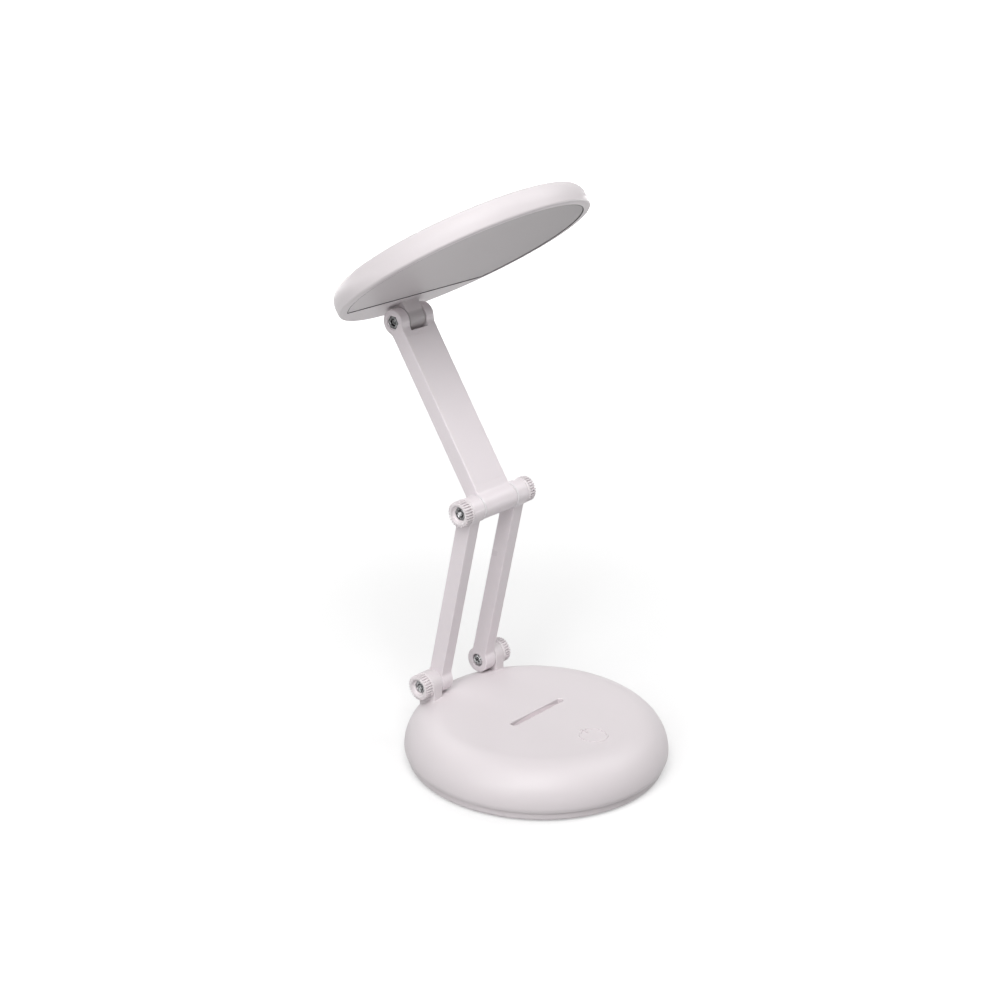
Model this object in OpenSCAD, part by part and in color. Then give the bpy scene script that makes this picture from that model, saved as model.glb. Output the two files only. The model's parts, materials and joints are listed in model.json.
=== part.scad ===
// Folding LED desk lamp: a weighted round base, two lower arms, one wide upper arm and a round
// light head. All hinges turn about X. The origin is the centre of the base's underside, +Z is
// up, and the touch key is at the front, towards -Y.

/* [Base] */
// Diameter of the base at its widest
base_d = 120; // [112:1:150]
// Height of the flat top of the base above the table
base_h = 23.3; // [22.8:0.1:32]
// Width of the rounded shoulder, from the flat top out to the widest circle
shoulder_w = 17; // [12:0.5:20]
// Height of the widest circle above the table
base_widest_z = 7; // [6:0.5:10]
// Wall thickness of the base shell
base_wall = 2; // [1.6:0.1:2.4]
// Thickness of the non-slip pad that the lamp stands on
pad_t = 1.2; // [0.8:0.1:2]
// Thickness of the floor of the bottom plate
plate_floor_t = 1.8; // [1.4:0.1:2.4]
// Height of the bottom plate's side band above the table
plate_band_z = 5.2; // [4.8:0.1:5.6]

/* [Card slot] */
// Length of the card slot in the base top, over its round ends
slot_l = 37; // [30:0.5:42]
// Width of the card slot
slot_w = 4.3; // [4.1:0.1:6]
// Depth of the card slot
slot_depth = 6; // [5:0.5:9]

/* [Touch key] */
// Distance of the touch key's centre in front of the base's centre
key_reach = 32.7; // [28:0.5:36]
// Outer diameter of the raised ring that marks the touch key
key_ring_d = 13; // [10:0.5:15]

/* [Arms] */
// Distance between hinge centres, on the lower arms and on the upper arm
arm_l = 90; // [70:1:110]
// Thickness of one lower arm, along the hinge axis
arm_t = 6.6; // [6:0.1:8]
// Depth of the lower arms and of the upper arm, square to the hinge axis
arm_d = 7.8; // [7:0.1:9]
// Width of the upper arm, along the hinge axis
upper_w = 20.8; // [19:0.1:28]
// Diameter of the round hinge ends
barrel_d = 11.8; // [11:0.1:12.4]
// Edge radius of the arms
arm_edge_r = 1.1; // [0.6:0.1:1.6]

/* [Hinges] */
// Distance of the base hinge in from the base's rim
hinge_inset = 13; // [12:0.5:16]
// Height of the base hinge above the base's flat top
hinge_rise = 5.8; // [5.6:0.1:9]
// Diameter of the hinge screws and the long hinge bolt
screw_d = 3; // [2.5:0.1:3.5]
// Width across the flats of the hinge nuts
nut_af = 5.5; // [5.2:0.1:6]
// Diameter of the hinge screws' heads
screw_head_d = 5.6; // [5:0.1:6]
// Thickness of the washers between the base lugs and the lower arms
base_washer_t = 0.4; // [0.3:0.1:1]
// Thickness of the washers between the lower arms and the upper arm
mid_washer_t = 0.8; // [0.5:0.1:1.2]
// Thickness of one base lug, along the hinge axis
lug_t = 5.3; // [4.5:0.1:7]

/* [Thumb knobs] */
// Diameter over the grip ridges of a thumb knob
knob_d = 12; // [11.6:0.1:12.6]
// Length of a thumb knob
knob_l = 5; // [4.6:0.1:7]
// Number of grip ridges on a thumb knob
knob_ridges = 28; // [20:1:36]

/* [Head] */
// Diameter of the light head
head_d = 118.8; // [106:0.2:130]
// Thickness of the light head
head_t = 11.4; // [11:0.1:16]
// Distance of the head hinge below the head's flat underside
head_drop = 6.8; // [6.6:0.1:9]
// Distance of the head hinge in from the head's rim
head_hinge_inset = 13.7; // [12:0.1:15]
// Distance from the head's centre to the straight edge of the diffuser
diffuser_cut = 35.1; // [28:0.1:37]
// Width of the rim between the diffuser and the outer edge
rim_w = 3.8; // [3.4:0.1:6]
// Wall thickness of the head shell
head_wall = 1.8; // [1.4:0.1:2.2]
// Thickness of the diffuser
diffuser_t = 1.6; // [1.2:0.1:2]

/* [Pose at rest] */
// Angle of the lower arms, from level towards the back
lower_angle = 101.3; // [95:0.1:110]
// Angle of the upper arm, from level towards the back
upper_angle = 54.7; // [45:0.1:65]
// Angle of the light head, from level towards the back
head_angle = 145.3; // [135:0.1:155]

/* [Hidden] */
$fn = 72;

// Clearances
run_gap = 0.05;         // radial, between a hinge screw and its bore
face_gap = 0.1;         // between flat faces that turn on each other
seat_gap = 0.1;         // round a piece that drops into a seat
seam_gap = 0.25;        // round the diffuser
cover_gap = 0.1;        // round the arm cover
swing_gap = 0.5;        // between faces that swing past each other
eps = 0.01;             // overrun of a cut past the face that it opens

// Base
base_r = base_d / 2;
base_flat_r = base_r - shoulder_w;
dome_foot_z = plate_band_z + face_gap;
dome_foot_r = base_r - 0.5;
plate_z = pad_t - 0.4;              // the pad sits 0.4 in the plate's underside
floor_z = plate_z + plate_floor_t;
plate_r = base_r - 1.7;
plate_wall = 1.8;
pad_r = base_r - 9;
ceiling_z = base_h - base_wall;
dome_tuck = [0.15, 0.8];            // draw-in of the shell below its widest circle, and over what height
lug_root = 2;                       // the lugs start this far above the shell's foot
lug_back = 2.2;                     // a lug's foot ends this far short of its round end at the back
boss_x = base_r / 1.5;
boss_y = base_r * 0.42;
boss_r = 3.2;
boss_bore_l = 9;
tapping_r = 1.2;
plate_round = [1.6, 0.5];           // bevel of the bottom plate's lower edge
plate_hole_r = tapping_r + 0.4;
pad_edge = 0.3;
slot_wall = 1.5;
key_ring_w = 0.6;
key_ring_h = 0.25;
key_ring_gap = 3.2;
key_bar_l = key_ring_d * 0.42;
key_bar_in = key_bar_l * 0.7;       // length of the bar inside the ring
electrode_r = 7.5;
electrode_t = 0.4;

// Screws that hold the bottom plate and the control board, as [head radius, head height, length]
plate_screw = [2.5, 0.9, 8];
board_screw = [2.2, 0.9, 6.5];
small_slot = [0.5, 0.6];            // width and depth of the cross slot

// Control board and charging socket
socket_w = 9;
socket_h = 3.2;
socket_l = 7.4;
socket_wall = 0.4;
socket_floor = 1.5;
socket_inset = 3;                   // from the base's widest circle in to the socket's mouth
port_gap = 0.4;
port_l = 8;
board_w = 40;
board_l = 22;
board_h = 1.6;
board_inset = 7.5;
board_y1 = base_r - board_inset;
board_y0 = board_y1 - board_l;
board_floor_z = 10.6;
post_x = 14;
post_y = board_y0 + 14;
post_r = 2.6;
post_bore_l = 6;

// Ballast block and battery cell
ballast_w = 52;
ballast_l = 27;
ballast_t = 5;
ballast_y = 4.5;
cell_r = 9;
cell_l = 65;
cell_edge = 0.6;
cell_cap_r = 3;
cell_cap_l = 1;
cell_z = floor_z + cell_r + 0.2;
cell_back = 8.5;                    // between the cell and the cup of the card slot
cell_y = -slot_w / 2 - slot_wall - cell_r - cell_back;
cradle_t = 3;
cradle_h = cell_r * 0.45;

// Hinge places, in the plane square to the hinge axis
hinge_y = base_r - hinge_inset;
hinge_z = base_h + hinge_rise;
mid_y = hinge_y + arm_l * cos(lower_angle);
mid_z = hinge_z + arm_l * sin(lower_angle);
tip_y = mid_y + arm_l * cos(upper_angle);
tip_z = mid_z + arm_l * sin(upper_angle);

// Stack of pieces along the hinge axis, outwards from the middle
upper_half = upper_w / 2;
arm_in = upper_half + mid_washer_t + 2 * face_gap;
arm_out = arm_in + arm_t;
lug_in = arm_out + base_washer_t + 2 * face_gap;
lug_out = lug_in + lug_t;
base_knob_x = lug_out + face_gap;
mid_knob_x = arm_out + face_gap;

// Fasteners
screw_r = screw_d / 2;
bore_r = screw_r + run_gap;
head_r = screw_head_d / 2;
head_sink = 2;
head_recess = 0.2;
nut_r = nut_af / 2 / cos(30);
nut_t = 2.4;
nut_floor = 0.9;                    // knob material between the nut and the knob's inner face
cross_w = 0.8;
cross_depth = 1.1;
cross_l = 1.2 * head_r;
screw_tip = 0.3;                    // bevel at the end of a shank
screw_proud = 0.3;                  // a shank ends this far past its nut
counterbore_r = head_r + 0.25;
base_washer_r = barrel_d / 2 - 0.4;
mid_washer_r = barrel_d / 2 + 0.2;

// Thumb knobs
knob_r = knob_d / 2;
ridge_h = 0.45;
ridge_form = [1, 0.25, 0, 0.25];    // depth below a ridge's top at four places round each ridge
knob_collar_l = 1.1;
knob_rim_l = 0.5;
knob_ridge_r = knob_r - 0.1;
knob_core_r = knob_ridge_r - ridge_h - 0.15;
knob_collar_edge = 0.25;
cup_r = 3.95;

// Arms
barrel_r = barrel_d / 2;
barrel_edge = 0.5;
arm_mid = (arm_in + arm_out) / 2;
lead_r = 0.8;
lead_bend_r = lead_r + 0.03;
lead_bore_r = 1.3;
lead_start = barrel_r + 2.5;
cover_w = upper_w - 3.2;
cover_t = 1.2;
cover_start = barrel_r + 3;
fork_l = barrel_r + 0.5;            // from the head hinge to the floor of the fork's pocket
cover_end = arm_l - fork_l - 2.5;
trough_w = 12;
trough_d = 3.2;
trough_inset = 3;                   // from the cover's ends in to the trough's ends
trough_lead_x = -trough_w / 2 + 2;  // where the lead lies in the trough
knuckle_half = 4.9;
ear_in = knuckle_half + swing_gap;
ear_sink = 0.3;
ear_sink_r = nut_r + 0.3;

// Head, in a frame at the centre of its flat underside with +Z out of the top of the head
head_rim_r = head_d / 2;
head_reach = head_rim_r - head_hinge_inset;
head_widest_z = 3.3;
head_flat_r = head_rim_r - 7;
head_edge_r = 1.3;
head_edge_c = head_rim_r - 0.2 - head_edge_r;
knuckle_r = barrel_r - 0.2;
diffuser_r = head_rim_r - rim_w;
ledge_w = 1.2;
ledge_t = 1;
diffuser_step = 0.15;               // the diffuser lies this far inside the rim
ledge_z = diffuser_step + diffuser_t;
board_t = 1;
board_r = 30;
board_gap = 0.8;                    // height of the screw bosses above the board
board_z = head_t - head_wall - board_gap - board_t;
chip_w = 2.8;
chip_l = 3.5;
chip_t = 0.7;
chip_rings = [[13, 8], [24, 14]];   // radius of each ring of light chips and its count
chip_window_r = 2.5;
sheet_t = 0.3;
led_screw_ring = 18.5;
led_screw_r = 1;
led_screw = [2, 0.9, 0.9 + board_t + board_gap + 0.4];
led_boss_r = 2.6;
led_boss_root = 1;                  // the bosses run this far into the head's roof
led_bore_l = 0.7;
head_lead_x = 2;

// Superellipse from [r0, z1] on the flat to [r1, z0] at the widest circle, as [radius, height]
function shoulder(r0, r1, z0, z1, power, steps) = [
    for (i = [0 : steps])
        let (a = 90 * i / steps)
        [r0 + (r1 - r0) * pow(cos(a), 2 / power), z0 + (z1 - z0) * pow(sin(a), 2 / power)]
];

// Quarter of a circle about c, from angle a0 to angle a1
function arc(c, r, a0, a1, steps) = [
    for (i = [0 : steps]) let (a = a0 + (a1 - a0) * i / steps) c + r * [cos(a), sin(a)]
];

// Rectangle about the origin with rounded corners
function round_rect(w, d, r) = concat(
    arc([w / 2 - r, d / 2 - r], r, 0, 90, 4),
    arc([-w / 2 + r, d / 2 - r], r, 90, 180, 4),
    arc([-w / 2 + r, -d / 2 + r], r, 180, 270, 4),
    arc([w / 2 - r, -d / 2 + r], r, 270, 360, 4)
);

module lower_frame() {
    translate([0, hinge_y, hinge_z]) rotate([lower_angle, 0, 0]) children();
}

module upper_frame() {
    translate([0, mid_y, mid_z]) rotate([upper_angle, 0, 0]) children();
}

module head_frame() {
    translate([0, tip_y, tip_z])
        rotate([head_angle, 0, 0])
            translate([0, head_reach, -head_drop])
                rotate([180, 0, 0]) children();
}

// Both sides of the lamp, the right one drawn and the left one mirrored
module both_sides() {
    children();
    mirror([1, 0, 0]) children();
}

// Cylinder along the hinge axis
module cross_rod(r, x0, x1) {
    translate([x0, 0, 0]) rotate([0, 90, 0]) cylinder(r = r, h = x1 - x0);
}

// Solid of revolution about the hinge axis, from points [radius, x]
module cross_turned(points) {
    rotate([0, 90, 0]) rotate_extrude() polygon(points);
}

// Round hinge end with softened rims
module barrel(r, x0, x1) {
    e = barrel_edge;
    cross_turned([[0, x0], [r - e, x0], [r, x0 + e], [r, x1 - e], [r - e, x1], [0, x1]]);
}

// Bar along Y with rounded edges, centred on x
module arm_bar(x, w, d, y0, y1) {
    translate([x, y1, 0])
        rotate([90, 0, 0])
            linear_extrude(height = y1 - y0) polygon(round_rect(w, d, arm_edge_r));
}

// Flat washer on the hinge axis
module washer(r, x0, t) {
    difference() {
        cross_rod(r, x0, x0 + t);
        cross_rod(bore_r, x0 - eps, x0 + t + eps);
    }
}

// Hexagon along the hinge axis
module hexagon(r, x0, x1) {
    translate([x0, 0, 0]) rotate([0, 90, 0]) rotate([0, 0, 30]) cylinder(r = r, h = x1 - x0, $fn = 6);
}

// Screw along the hinge axis: its cross-slotted head starts at x0, and its shank ends at x1
module cross_screw(x0, x1) {
    difference() {
        union() {
            cross_turned([
                [0, x0], [head_r - 0.7, x0], [head_r - 0.2, x0 + 0.3], [head_r, x0 + 0.8],
                [head_r, x0 + head_sink - head_recess], [0, x0 + head_sink - head_recess]
            ]);
            cross_turned([
                [0, x0 + cross_depth], [screw_r, x0 + cross_depth], [screw_r, x1 - screw_tip],
                [screw_r - screw_tip, x1], [0, x1]
            ]);
        }
        for (turn = [0, 90])
            rotate([turn, 0, 0])
                translate([x0 - eps, -cross_w / 2, -cross_l / 2])
                    cube([cross_depth + eps, cross_w, cross_l]);
    }
}

// Nut on the hinge axis with bevelled corners
module hinge_nut(x0) {
    bevel = 0.35;
    difference() {
        intersection() {
            hexagon(nut_r, x0, x0 + nut_t);
            cross_turned([
                [0, x0], [nut_r - bevel, x0], [nut_r, x0 + bevel], [nut_r, x0 + nut_t - bevel],
                [nut_r - bevel, x0 + nut_t], [0, x0 + nut_t]
            ]);
        }
        cross_rod(bore_r, x0 - eps, x0 + nut_t + eps);
    }
}

// Thumb knob whose inner face lies at x0: smooth collar, ridged grip, and a cup over the nut
module thumb_knob(x0) {
    grip_x = x0 + knob_collar_l;
    rim_x = x0 + knob_l - knob_rim_l;
    nut_x = x0 + nut_floor;
    difference() {
        union() {
            cross_turned([
                [0, x0], [knob_r - knob_collar_edge, x0], [knob_r, x0 + knob_collar_edge],
                [knob_r, grip_x], [knob_core_r, grip_x], [knob_core_r, rim_x + knob_rim_l / 2],
                [knob_core_r - knob_rim_l / 2, x0 + knob_l], [0, x0 + knob_l]
            ]);
            translate([grip_x - eps, 0, 0])
                rotate([0, 90, 0])
                    linear_extrude(height = rim_x - grip_x + eps)
                        polygon([
                            for (i = [0 : knob_ridges * 4 - 1])
                                let (a = 360 * i / (knob_ridges * 4))
                                (knob_ridge_r - ridge_h * ridge_form[i % 4]) * [cos(a), sin(a)]
                        ]);
        }
        cross_rod(bore_r + run_gap, x0 - eps, x0 + knob_l);
        hexagon(nut_r + seat_gap / 2, nut_x, x0 + knob_l);
        cross_rod(cup_r, nut_x + nut_t, x0 + knob_l + eps);
    }
}

// Dome of the base: outer form, or the hollow when drawn with a wall
module dome(w) {
    foot = w > 0 ? -eps : dome_foot_z;
    rotate_extrude()
        polygon(concat(
            [[0, foot], [(w > 0 ? base_r : dome_foot_r) - w, foot]],
            w > 0 ? [] : [[base_r - dome_tuck[0], base_widest_z - dome_tuck[1]]],
            shoulder(base_flat_r - w / 2, base_r - w, base_widest_z, base_h - w, 2, 20),
            [[0, base_h - w]]
        ));
}

module base_lug() {
    translate([0, hinge_y, hinge_z]) {
        barrel(barrel_r, lug_in, lug_out);
        translate([lug_in, -barrel_r, dome_foot_z + lug_root - hinge_z])
            cube([lug_t, 2 * barrel_r - lug_back, hinge_z - dome_foot_z - lug_root]);
    }
}

module at_bosses() {
    for (sx = [-1, 1], sy = [-1, 1]) translate([sx * boss_x, sy * boss_y, 0]) children();
}

// Outline of the card slot: a strip with round ends
module slot_outline() {
    end_x = (slot_l - slot_w) / 2;
    square([2 * end_x, slot_w], center = true);
    for (s = [-1, 1]) translate([s * end_x, 0]) circle(d = slot_w);
}

module base_housing() {
    color([0.87, 0.84, 0.86])
    difference() {
        union() {
            difference() {
                union() {
                    dome(0);
                    both_sides() base_lug();
                }
                dome(base_wall);
            }
            // cup of the card slot
            translate([-slot_l / 2 - slot_wall, -slot_w / 2 - slot_wall, base_h - slot_depth - slot_wall])
                cube([slot_l + 2 * slot_wall, slot_w + 2 * slot_wall, slot_depth + slot_wall / 2]);
            // screw bosses hang from the shell down to the plate
            intersection() {
                at_bosses() translate([0, 0, floor_z]) cylinder(r = boss_r, h = base_h);
                dome(base_wall / 2);
            }
            // raised mark of the touch key: an open ring and a bar
            translate([0, -key_reach, base_h - eps]) {
                difference() {
                    cylinder(d = key_ring_d, h = key_ring_h);
                    translate([0, 0, -eps]) cylinder(d = key_ring_d - 2 * key_ring_w, h = 1);
                    translate([-key_ring_gap / 2, 0, -eps]) cube([key_ring_gap, key_ring_d, 1]);
                }
                translate([-key_ring_w / 2, key_ring_d / 2 - key_bar_in, 0])
                    cube([key_ring_w, key_bar_l, key_ring_h]);
            }
        }
        // card slot
        translate([0, 0, base_h - slot_depth]) linear_extrude(height = slot_depth + 1) slot_outline();
        // screw bores of the lugs and of the bosses
        translate([0, hinge_y, hinge_z]) both_sides() cross_rod(bore_r, lug_in - eps, lug_out + eps);
        at_bosses() translate([0, 0, floor_z - eps]) cylinder(r = tapping_r, h = boss_bore_l);
        // charging port in the rear wall
        translate([-socket_w / 2 - port_gap, base_r - port_l, board_floor_z + board_h - port_gap])
            cube([socket_w + 2 * port_gap, port_l + 1, socket_h + 2 * port_gap]);
    }
}

module base_plate() {
    color([0.83, 0.80, 0.82])
    difference() {
        union() {
            difference() {
                rotate_extrude()
                    polygon([
                        [0, plate_z], [plate_r - plate_round[0], plate_z],
                        [plate_r - plate_round[1], plate_z + plate_round[1]],
                        [plate_r, plate_z + plate_round[0]], [plate_r, plate_band_z], [0, plate_band_z]
                    ]);
                translate([0, 0, floor_z]) cylinder(r = plate_r - plate_wall, h = plate_band_z);
            }
            // cradles of the battery cell
            for (s = [-1, 1])
                translate([s * cell_l / 3 - cradle_t / 2, cell_y - cell_r, floor_z - eps])
                    cube([cradle_t, 2 * cell_r, cradle_h + eps]);
            // posts of the control board
            for (s = [-1, 1])
                translate([s * post_x, post_y, floor_z - eps])
                    cylinder(r = post_r, h = board_floor_z - floor_z + eps);
        }
        translate([0, 0, plate_z - eps]) cylinder(r = pad_r + seat_gap, h = pad_t - plate_z + eps);
        translate([0, cell_y, cell_z]) cross_rod(cell_r + seat_gap, -cell_l / 2 - 1, cell_l / 2 + 1);
        for (s = [-1, 1])
            translate([s * post_x, post_y, board_floor_z - post_bore_l])
                cylinder(r = tapping_r, h = post_bore_l + 1);
        at_bosses() {
            translate([0, 0, plate_z]) cylinder(r = plate_hole_r, h = plate_floor_t + 1);
            translate([0, 0, plate_z - eps])
                cylinder(r = plate_screw[0] + seat_gap, h = pad_t + plate_screw[1] - plate_z + eps);
        }
    }
}

module anti_slip_pad() {
    color([0.25, 0.25, 0.26])
        rotate_extrude()
            polygon([[0, 0], [pad_r - pad_edge, 0], [pad_r, pad_edge], [pad_r, pad_t], [0, pad_t]]);
}

// Small screw, its head's outer face at z = 0 and its shank towards +Z, in a bore of radius r
module small_screw(size, r) {
    difference() {
        union() {
            cylinder(r = size[0], h = size[1]);
            cylinder(r = r - run_gap, h = size[2]);
        }
        for (turn = [0, 90])
            rotate([0, 0, turn])
                translate([-size[0] / 2, -small_slot[0] / 2, -eps])
                    cube([size[0], small_slot[0], small_slot[1]]);
    }
}

module plate_screws() {
    color([0.62, 0.62, 0.64])
        at_bosses() translate([0, 0, pad_t]) small_screw(plate_screw, tapping_r);
}

module ballast_block() {
    color([0.45, 0.45, 0.47])
    translate([-ballast_w / 2, ballast_y, floor_z])
        cube([ballast_w, ballast_l, ballast_t]);
}

module battery_cell() {
    color([0.35, 0.55, 0.75])
    translate([0, cell_y, cell_z])
        cross_turned([
            [0, -cell_l / 2], [cell_r - cell_edge, -cell_l / 2], [cell_r, cell_edge - cell_l / 2],
            [cell_r, cell_l / 2 - cell_cap_l - cell_edge], [cell_r - cell_edge, cell_l / 2 - cell_cap_l],
            [cell_cap_r, cell_l / 2 - cell_cap_l], [cell_cap_r, cell_l / 2], [0, cell_l / 2]
        ]);
}

module control_board() {
    color([0.16, 0.42, 0.28])
    difference() {
        translate([-board_w / 2, board_y0, board_floor_z]) cube([board_w, board_l, board_h]);
        for (s = [-1, 1])
            translate([s * post_x, post_y, board_floor_z - 1])
                cylinder(r = tapping_r + seat_gap, h = board_h + 2);
    }
}

module board_screws() {
    color([0.62, 0.62, 0.64])
    for (s = [-1, 1])
        translate([s * post_x, post_y, board_floor_z + board_h + board_screw[1]])
            mirror([0, 0, 1]) small_screw(board_screw, tapping_r);
}

module charging_socket() {
    wall = socket_wall;
    color([0.72, 0.72, 0.74])
    translate([0, base_r - socket_inset, board_floor_z + board_h])
        difference() {
            translate([-socket_w / 2, -socket_l, 0]) cube([socket_w, socket_l, socket_h]);
            translate([-socket_w / 2 + wall, -socket_l + socket_floor, wall])
                cube([socket_w - 2 * wall, socket_l, socket_h - 2 * wall]);
        }
}

module touch_electrode() {
    color([0.80, 0.52, 0.30])
        translate([0, -key_reach, ceiling_z - seat_gap - electrode_t])
            cylinder(r = electrode_r, h = electrode_t);
}

// Run of insulated lead through a list of points, with round bends
module lead_run(points) {
    color([0.88, 0.88, 0.86])
    for (i = [0 : len(points) - 2]) {
        d = points[i + 1] - points[i];
        flat = norm([d.x, d.y]);
        translate(points[i])
            rotate([0, atan2(flat, d.z), atan2(d.y, d.x)])
                cylinder(r = lead_r, h = norm(d), $fn = 24);
        if (i > 0) translate(points[i]) sphere(r = lead_bend_r, $fn = 24);
    }
}

module lead_base() {
    z = board_floor_z + board_h + lead_r;
    lug_mid = (lug_in + lug_out) / 2;
    lead_run([
        [-board_w / 2 + 2, hinge_y - barrel_r, z],
        [-lug_mid, hinge_y - barrel_r, z],
        [-lug_mid, hinge_y - 1, z + 1.5]
    ]);
}

module base_knob_right() {
    color([0.90, 0.87, 0.89])
        translate([0, hinge_y, hinge_z]) thumb_knob(base_knob_x);
}

module base_knob_left() {
    mirror([1, 0, 0]) base_knob_right();
}

module base_nut_right() {
    color([0.62, 0.62, 0.64])
        translate([0, hinge_y, hinge_z]) hinge_nut(base_knob_x + nut_floor);
}

module base_nut_left() {
    mirror([1, 0, 0]) base_nut_right();
}

// Right lower arm: hub at the base, bar and barrel at the mid hinge
module lower_arm_form() {
    difference() {
        union() {
            barrel(barrel_r, arm_in, arm_out);
            translate([0, arm_l, 0]) barrel(barrel_r, arm_in, arm_out);
            arm_bar(arm_mid, arm_t, arm_d, 0, arm_l);
        }
        cross_rod(bore_r, arm_in - eps, arm_out + eps);
        cross_rod(counterbore_r, arm_in - eps, arm_in + head_sink);
        translate([0, arm_l, 0]) cross_rod(bore_r, arm_in - eps, arm_out + eps);
    }
}

module lower_arm_right() {
    color([0.86, 0.83, 0.85]) lower_frame() lower_arm_form();
}

// The left arm is hollow for the lead
module lower_arm_left() {
    color([0.86, 0.83, 0.85])
    lower_frame()
        mirror([1, 0, 0])
            difference() {
                lower_arm_form();
                translate([arm_mid, arm_l - lead_start, 0])
                    rotate([90, 0, 0]) cylinder(r = lead_bore_r, h = arm_l - 2 * lead_start);
            }
}

module lead_lower_arm() {
    lower_frame()
        lead_run([
            [-arm_mid, lead_start + seat_gap, 0],
            [-arm_mid, arm_l - lead_start - seat_gap, 0]
        ]);
}

module base_hinge_screws() {
    end = base_knob_x + nut_floor + nut_t + screw_proud;
    color([0.66, 0.66, 0.68])
    lower_frame() both_sides() cross_screw(arm_in + head_recess, end);
}

module base_hinge_washers() {
    color([0.78, 0.77, 0.76])
    lower_frame() both_sides() washer(base_washer_r, arm_out + face_gap, base_washer_t);
}

module mid_hinge_washers() {
    color([0.92, 0.90, 0.91])
    upper_frame() both_sides() washer(mid_washer_r, upper_half + face_gap, mid_washer_t);
}

module mid_knob_right() {
    color([0.90, 0.87, 0.89])
        translate([0, mid_y, mid_z]) thumb_knob(mid_knob_x);
}

module mid_knob_left() {
    mirror([1, 0, 0]) mid_knob_right();
}

module mid_nut() {
    color([0.62, 0.62, 0.64])
        translate([0, mid_y, mid_z]) mirror([1, 0, 0]) hinge_nut(mid_knob_x + nut_floor);
}

// Long bolt of the mid hinge, with its hexagon head held in the right knob
module mid_hinge_bolt() {
    head_x = mid_knob_x + nut_floor;
    end = -(mid_knob_x + nut_floor + nut_t + screw_proud);
    color([0.66, 0.66, 0.68])
    translate([0, mid_y, mid_z]) {
        hexagon(nut_r, head_x, head_x + nut_t);
        cross_turned([
            [0, end], [screw_r - screw_tip, end], [screw_r, end + screw_tip], [screw_r, head_x + 1],
            [0, head_x + 1]
        ]);
    }
}

module upper_arm() {
    color([0.86, 0.83, 0.85])
    upper_frame()
        difference() {
            union() {
                barrel(barrel_r, -upper_half, upper_half);
                arm_bar(0, upper_w, arm_d, 0, arm_l);
                translate([0, arm_l, 0]) barrel(barrel_r, -upper_half, upper_half);
            }
            cross_rod(bore_r, -upper_half - eps, upper_half + eps);
            // pocket between the ears of the fork
            translate([-ear_in, arm_l - fork_l, -barrel_r - 1])
                cube([2 * ear_in, fork_l + barrel_r + 1, 2 * barrel_r + 2]);
            translate([0, arm_l, 0]) {
                cross_rod(bore_r, -upper_half - eps, upper_half + eps);
                cross_rod(counterbore_r, upper_half - head_sink, upper_half + eps);
                hexagon(nut_r + seat_gap / 2, -upper_half - eps, -upper_half + ear_sink + nut_t);
                cross_rod(ear_sink_r, -upper_half - eps, -upper_half + ear_sink);
            }
            // seat of the cover and the trough of the lead
            translate([-cover_w / 2 - cover_gap, cover_start - cover_gap, arm_d / 2 - cover_t])
                cube([cover_w + 2 * cover_gap, cover_end - cover_start + 2 * cover_gap, cover_t + 1]);
            translate([-trough_w / 2, cover_start + trough_inset, arm_d / 2 - cover_t - trough_d])
                cube([trough_w, cover_end - cover_start - 2 * trough_inset, trough_d + 1]);
        }
}

module upper_arm_cover() {
    color([0.85, 0.82, 0.84])
    upper_frame()
        translate([-cover_w / 2, cover_start, arm_d / 2 - cover_t])
            cube([cover_w, cover_end - cover_start, cover_t]);
}

module lead_upper_arm() {
    z = arm_d / 2 - cover_t - trough_d + lead_r + run_gap;
    upper_frame()
        lead_run([
            [trough_lead_x, cover_start + trough_inset + 1, z],
            [trough_lead_x, cover_end - trough_inset - 1, z]
        ]);
}

module head_hinge_screw() {
    color([0.66, 0.66, 0.68])
    upper_frame()
        translate([0, arm_l, 0])
            mirror([1, 0, 0])
                cross_screw(-upper_half + head_recess, upper_half - ear_sink + 0.2);
}

module head_hinge_nut() {
    color([0.62, 0.62, 0.64])
    upper_frame()
        translate([0, arm_l, 0])
            mirror([1, 0, 0]) hinge_nut(upper_half - ear_sink - nut_t);
}

// Part of a disc on the diffuser's side of the straight cut
module cut_disc(r, cut, z0, z1) {
    intersection() {
        translate([0, 0, z0]) cylinder(r = r, h = z1 - z0, $fn = 96);
        translate([-r - 1, -r - 1, z0 - 1]) cube([2 * r + 2, r + 1 + cut, z1 - z0 + 2]);
    }
}

// Disc of the head: outer form, or the hollow when drawn with a wall
module head_disc(w) {
    rotate_extrude($fn = 96)
        polygon(concat(
            w > 0
                ? [[0, ledge_z + ledge_t], [head_rim_r - w, ledge_z + ledge_t]]
                : concat([[0, 0]], arc([head_edge_c, head_edge_r], head_edge_r, 270, 360, 4)),
            shoulder(head_flat_r, head_rim_r - w, head_widest_z, head_t - w, 2.4, 16),
            [[0, head_t - w]]
        ));
}

module at_board_screws() {
    for (i = [0 : 2]) rotate([0, 0, 30 + 120 * i]) translate([led_screw_ring, 0, 0]) children();
}

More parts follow.
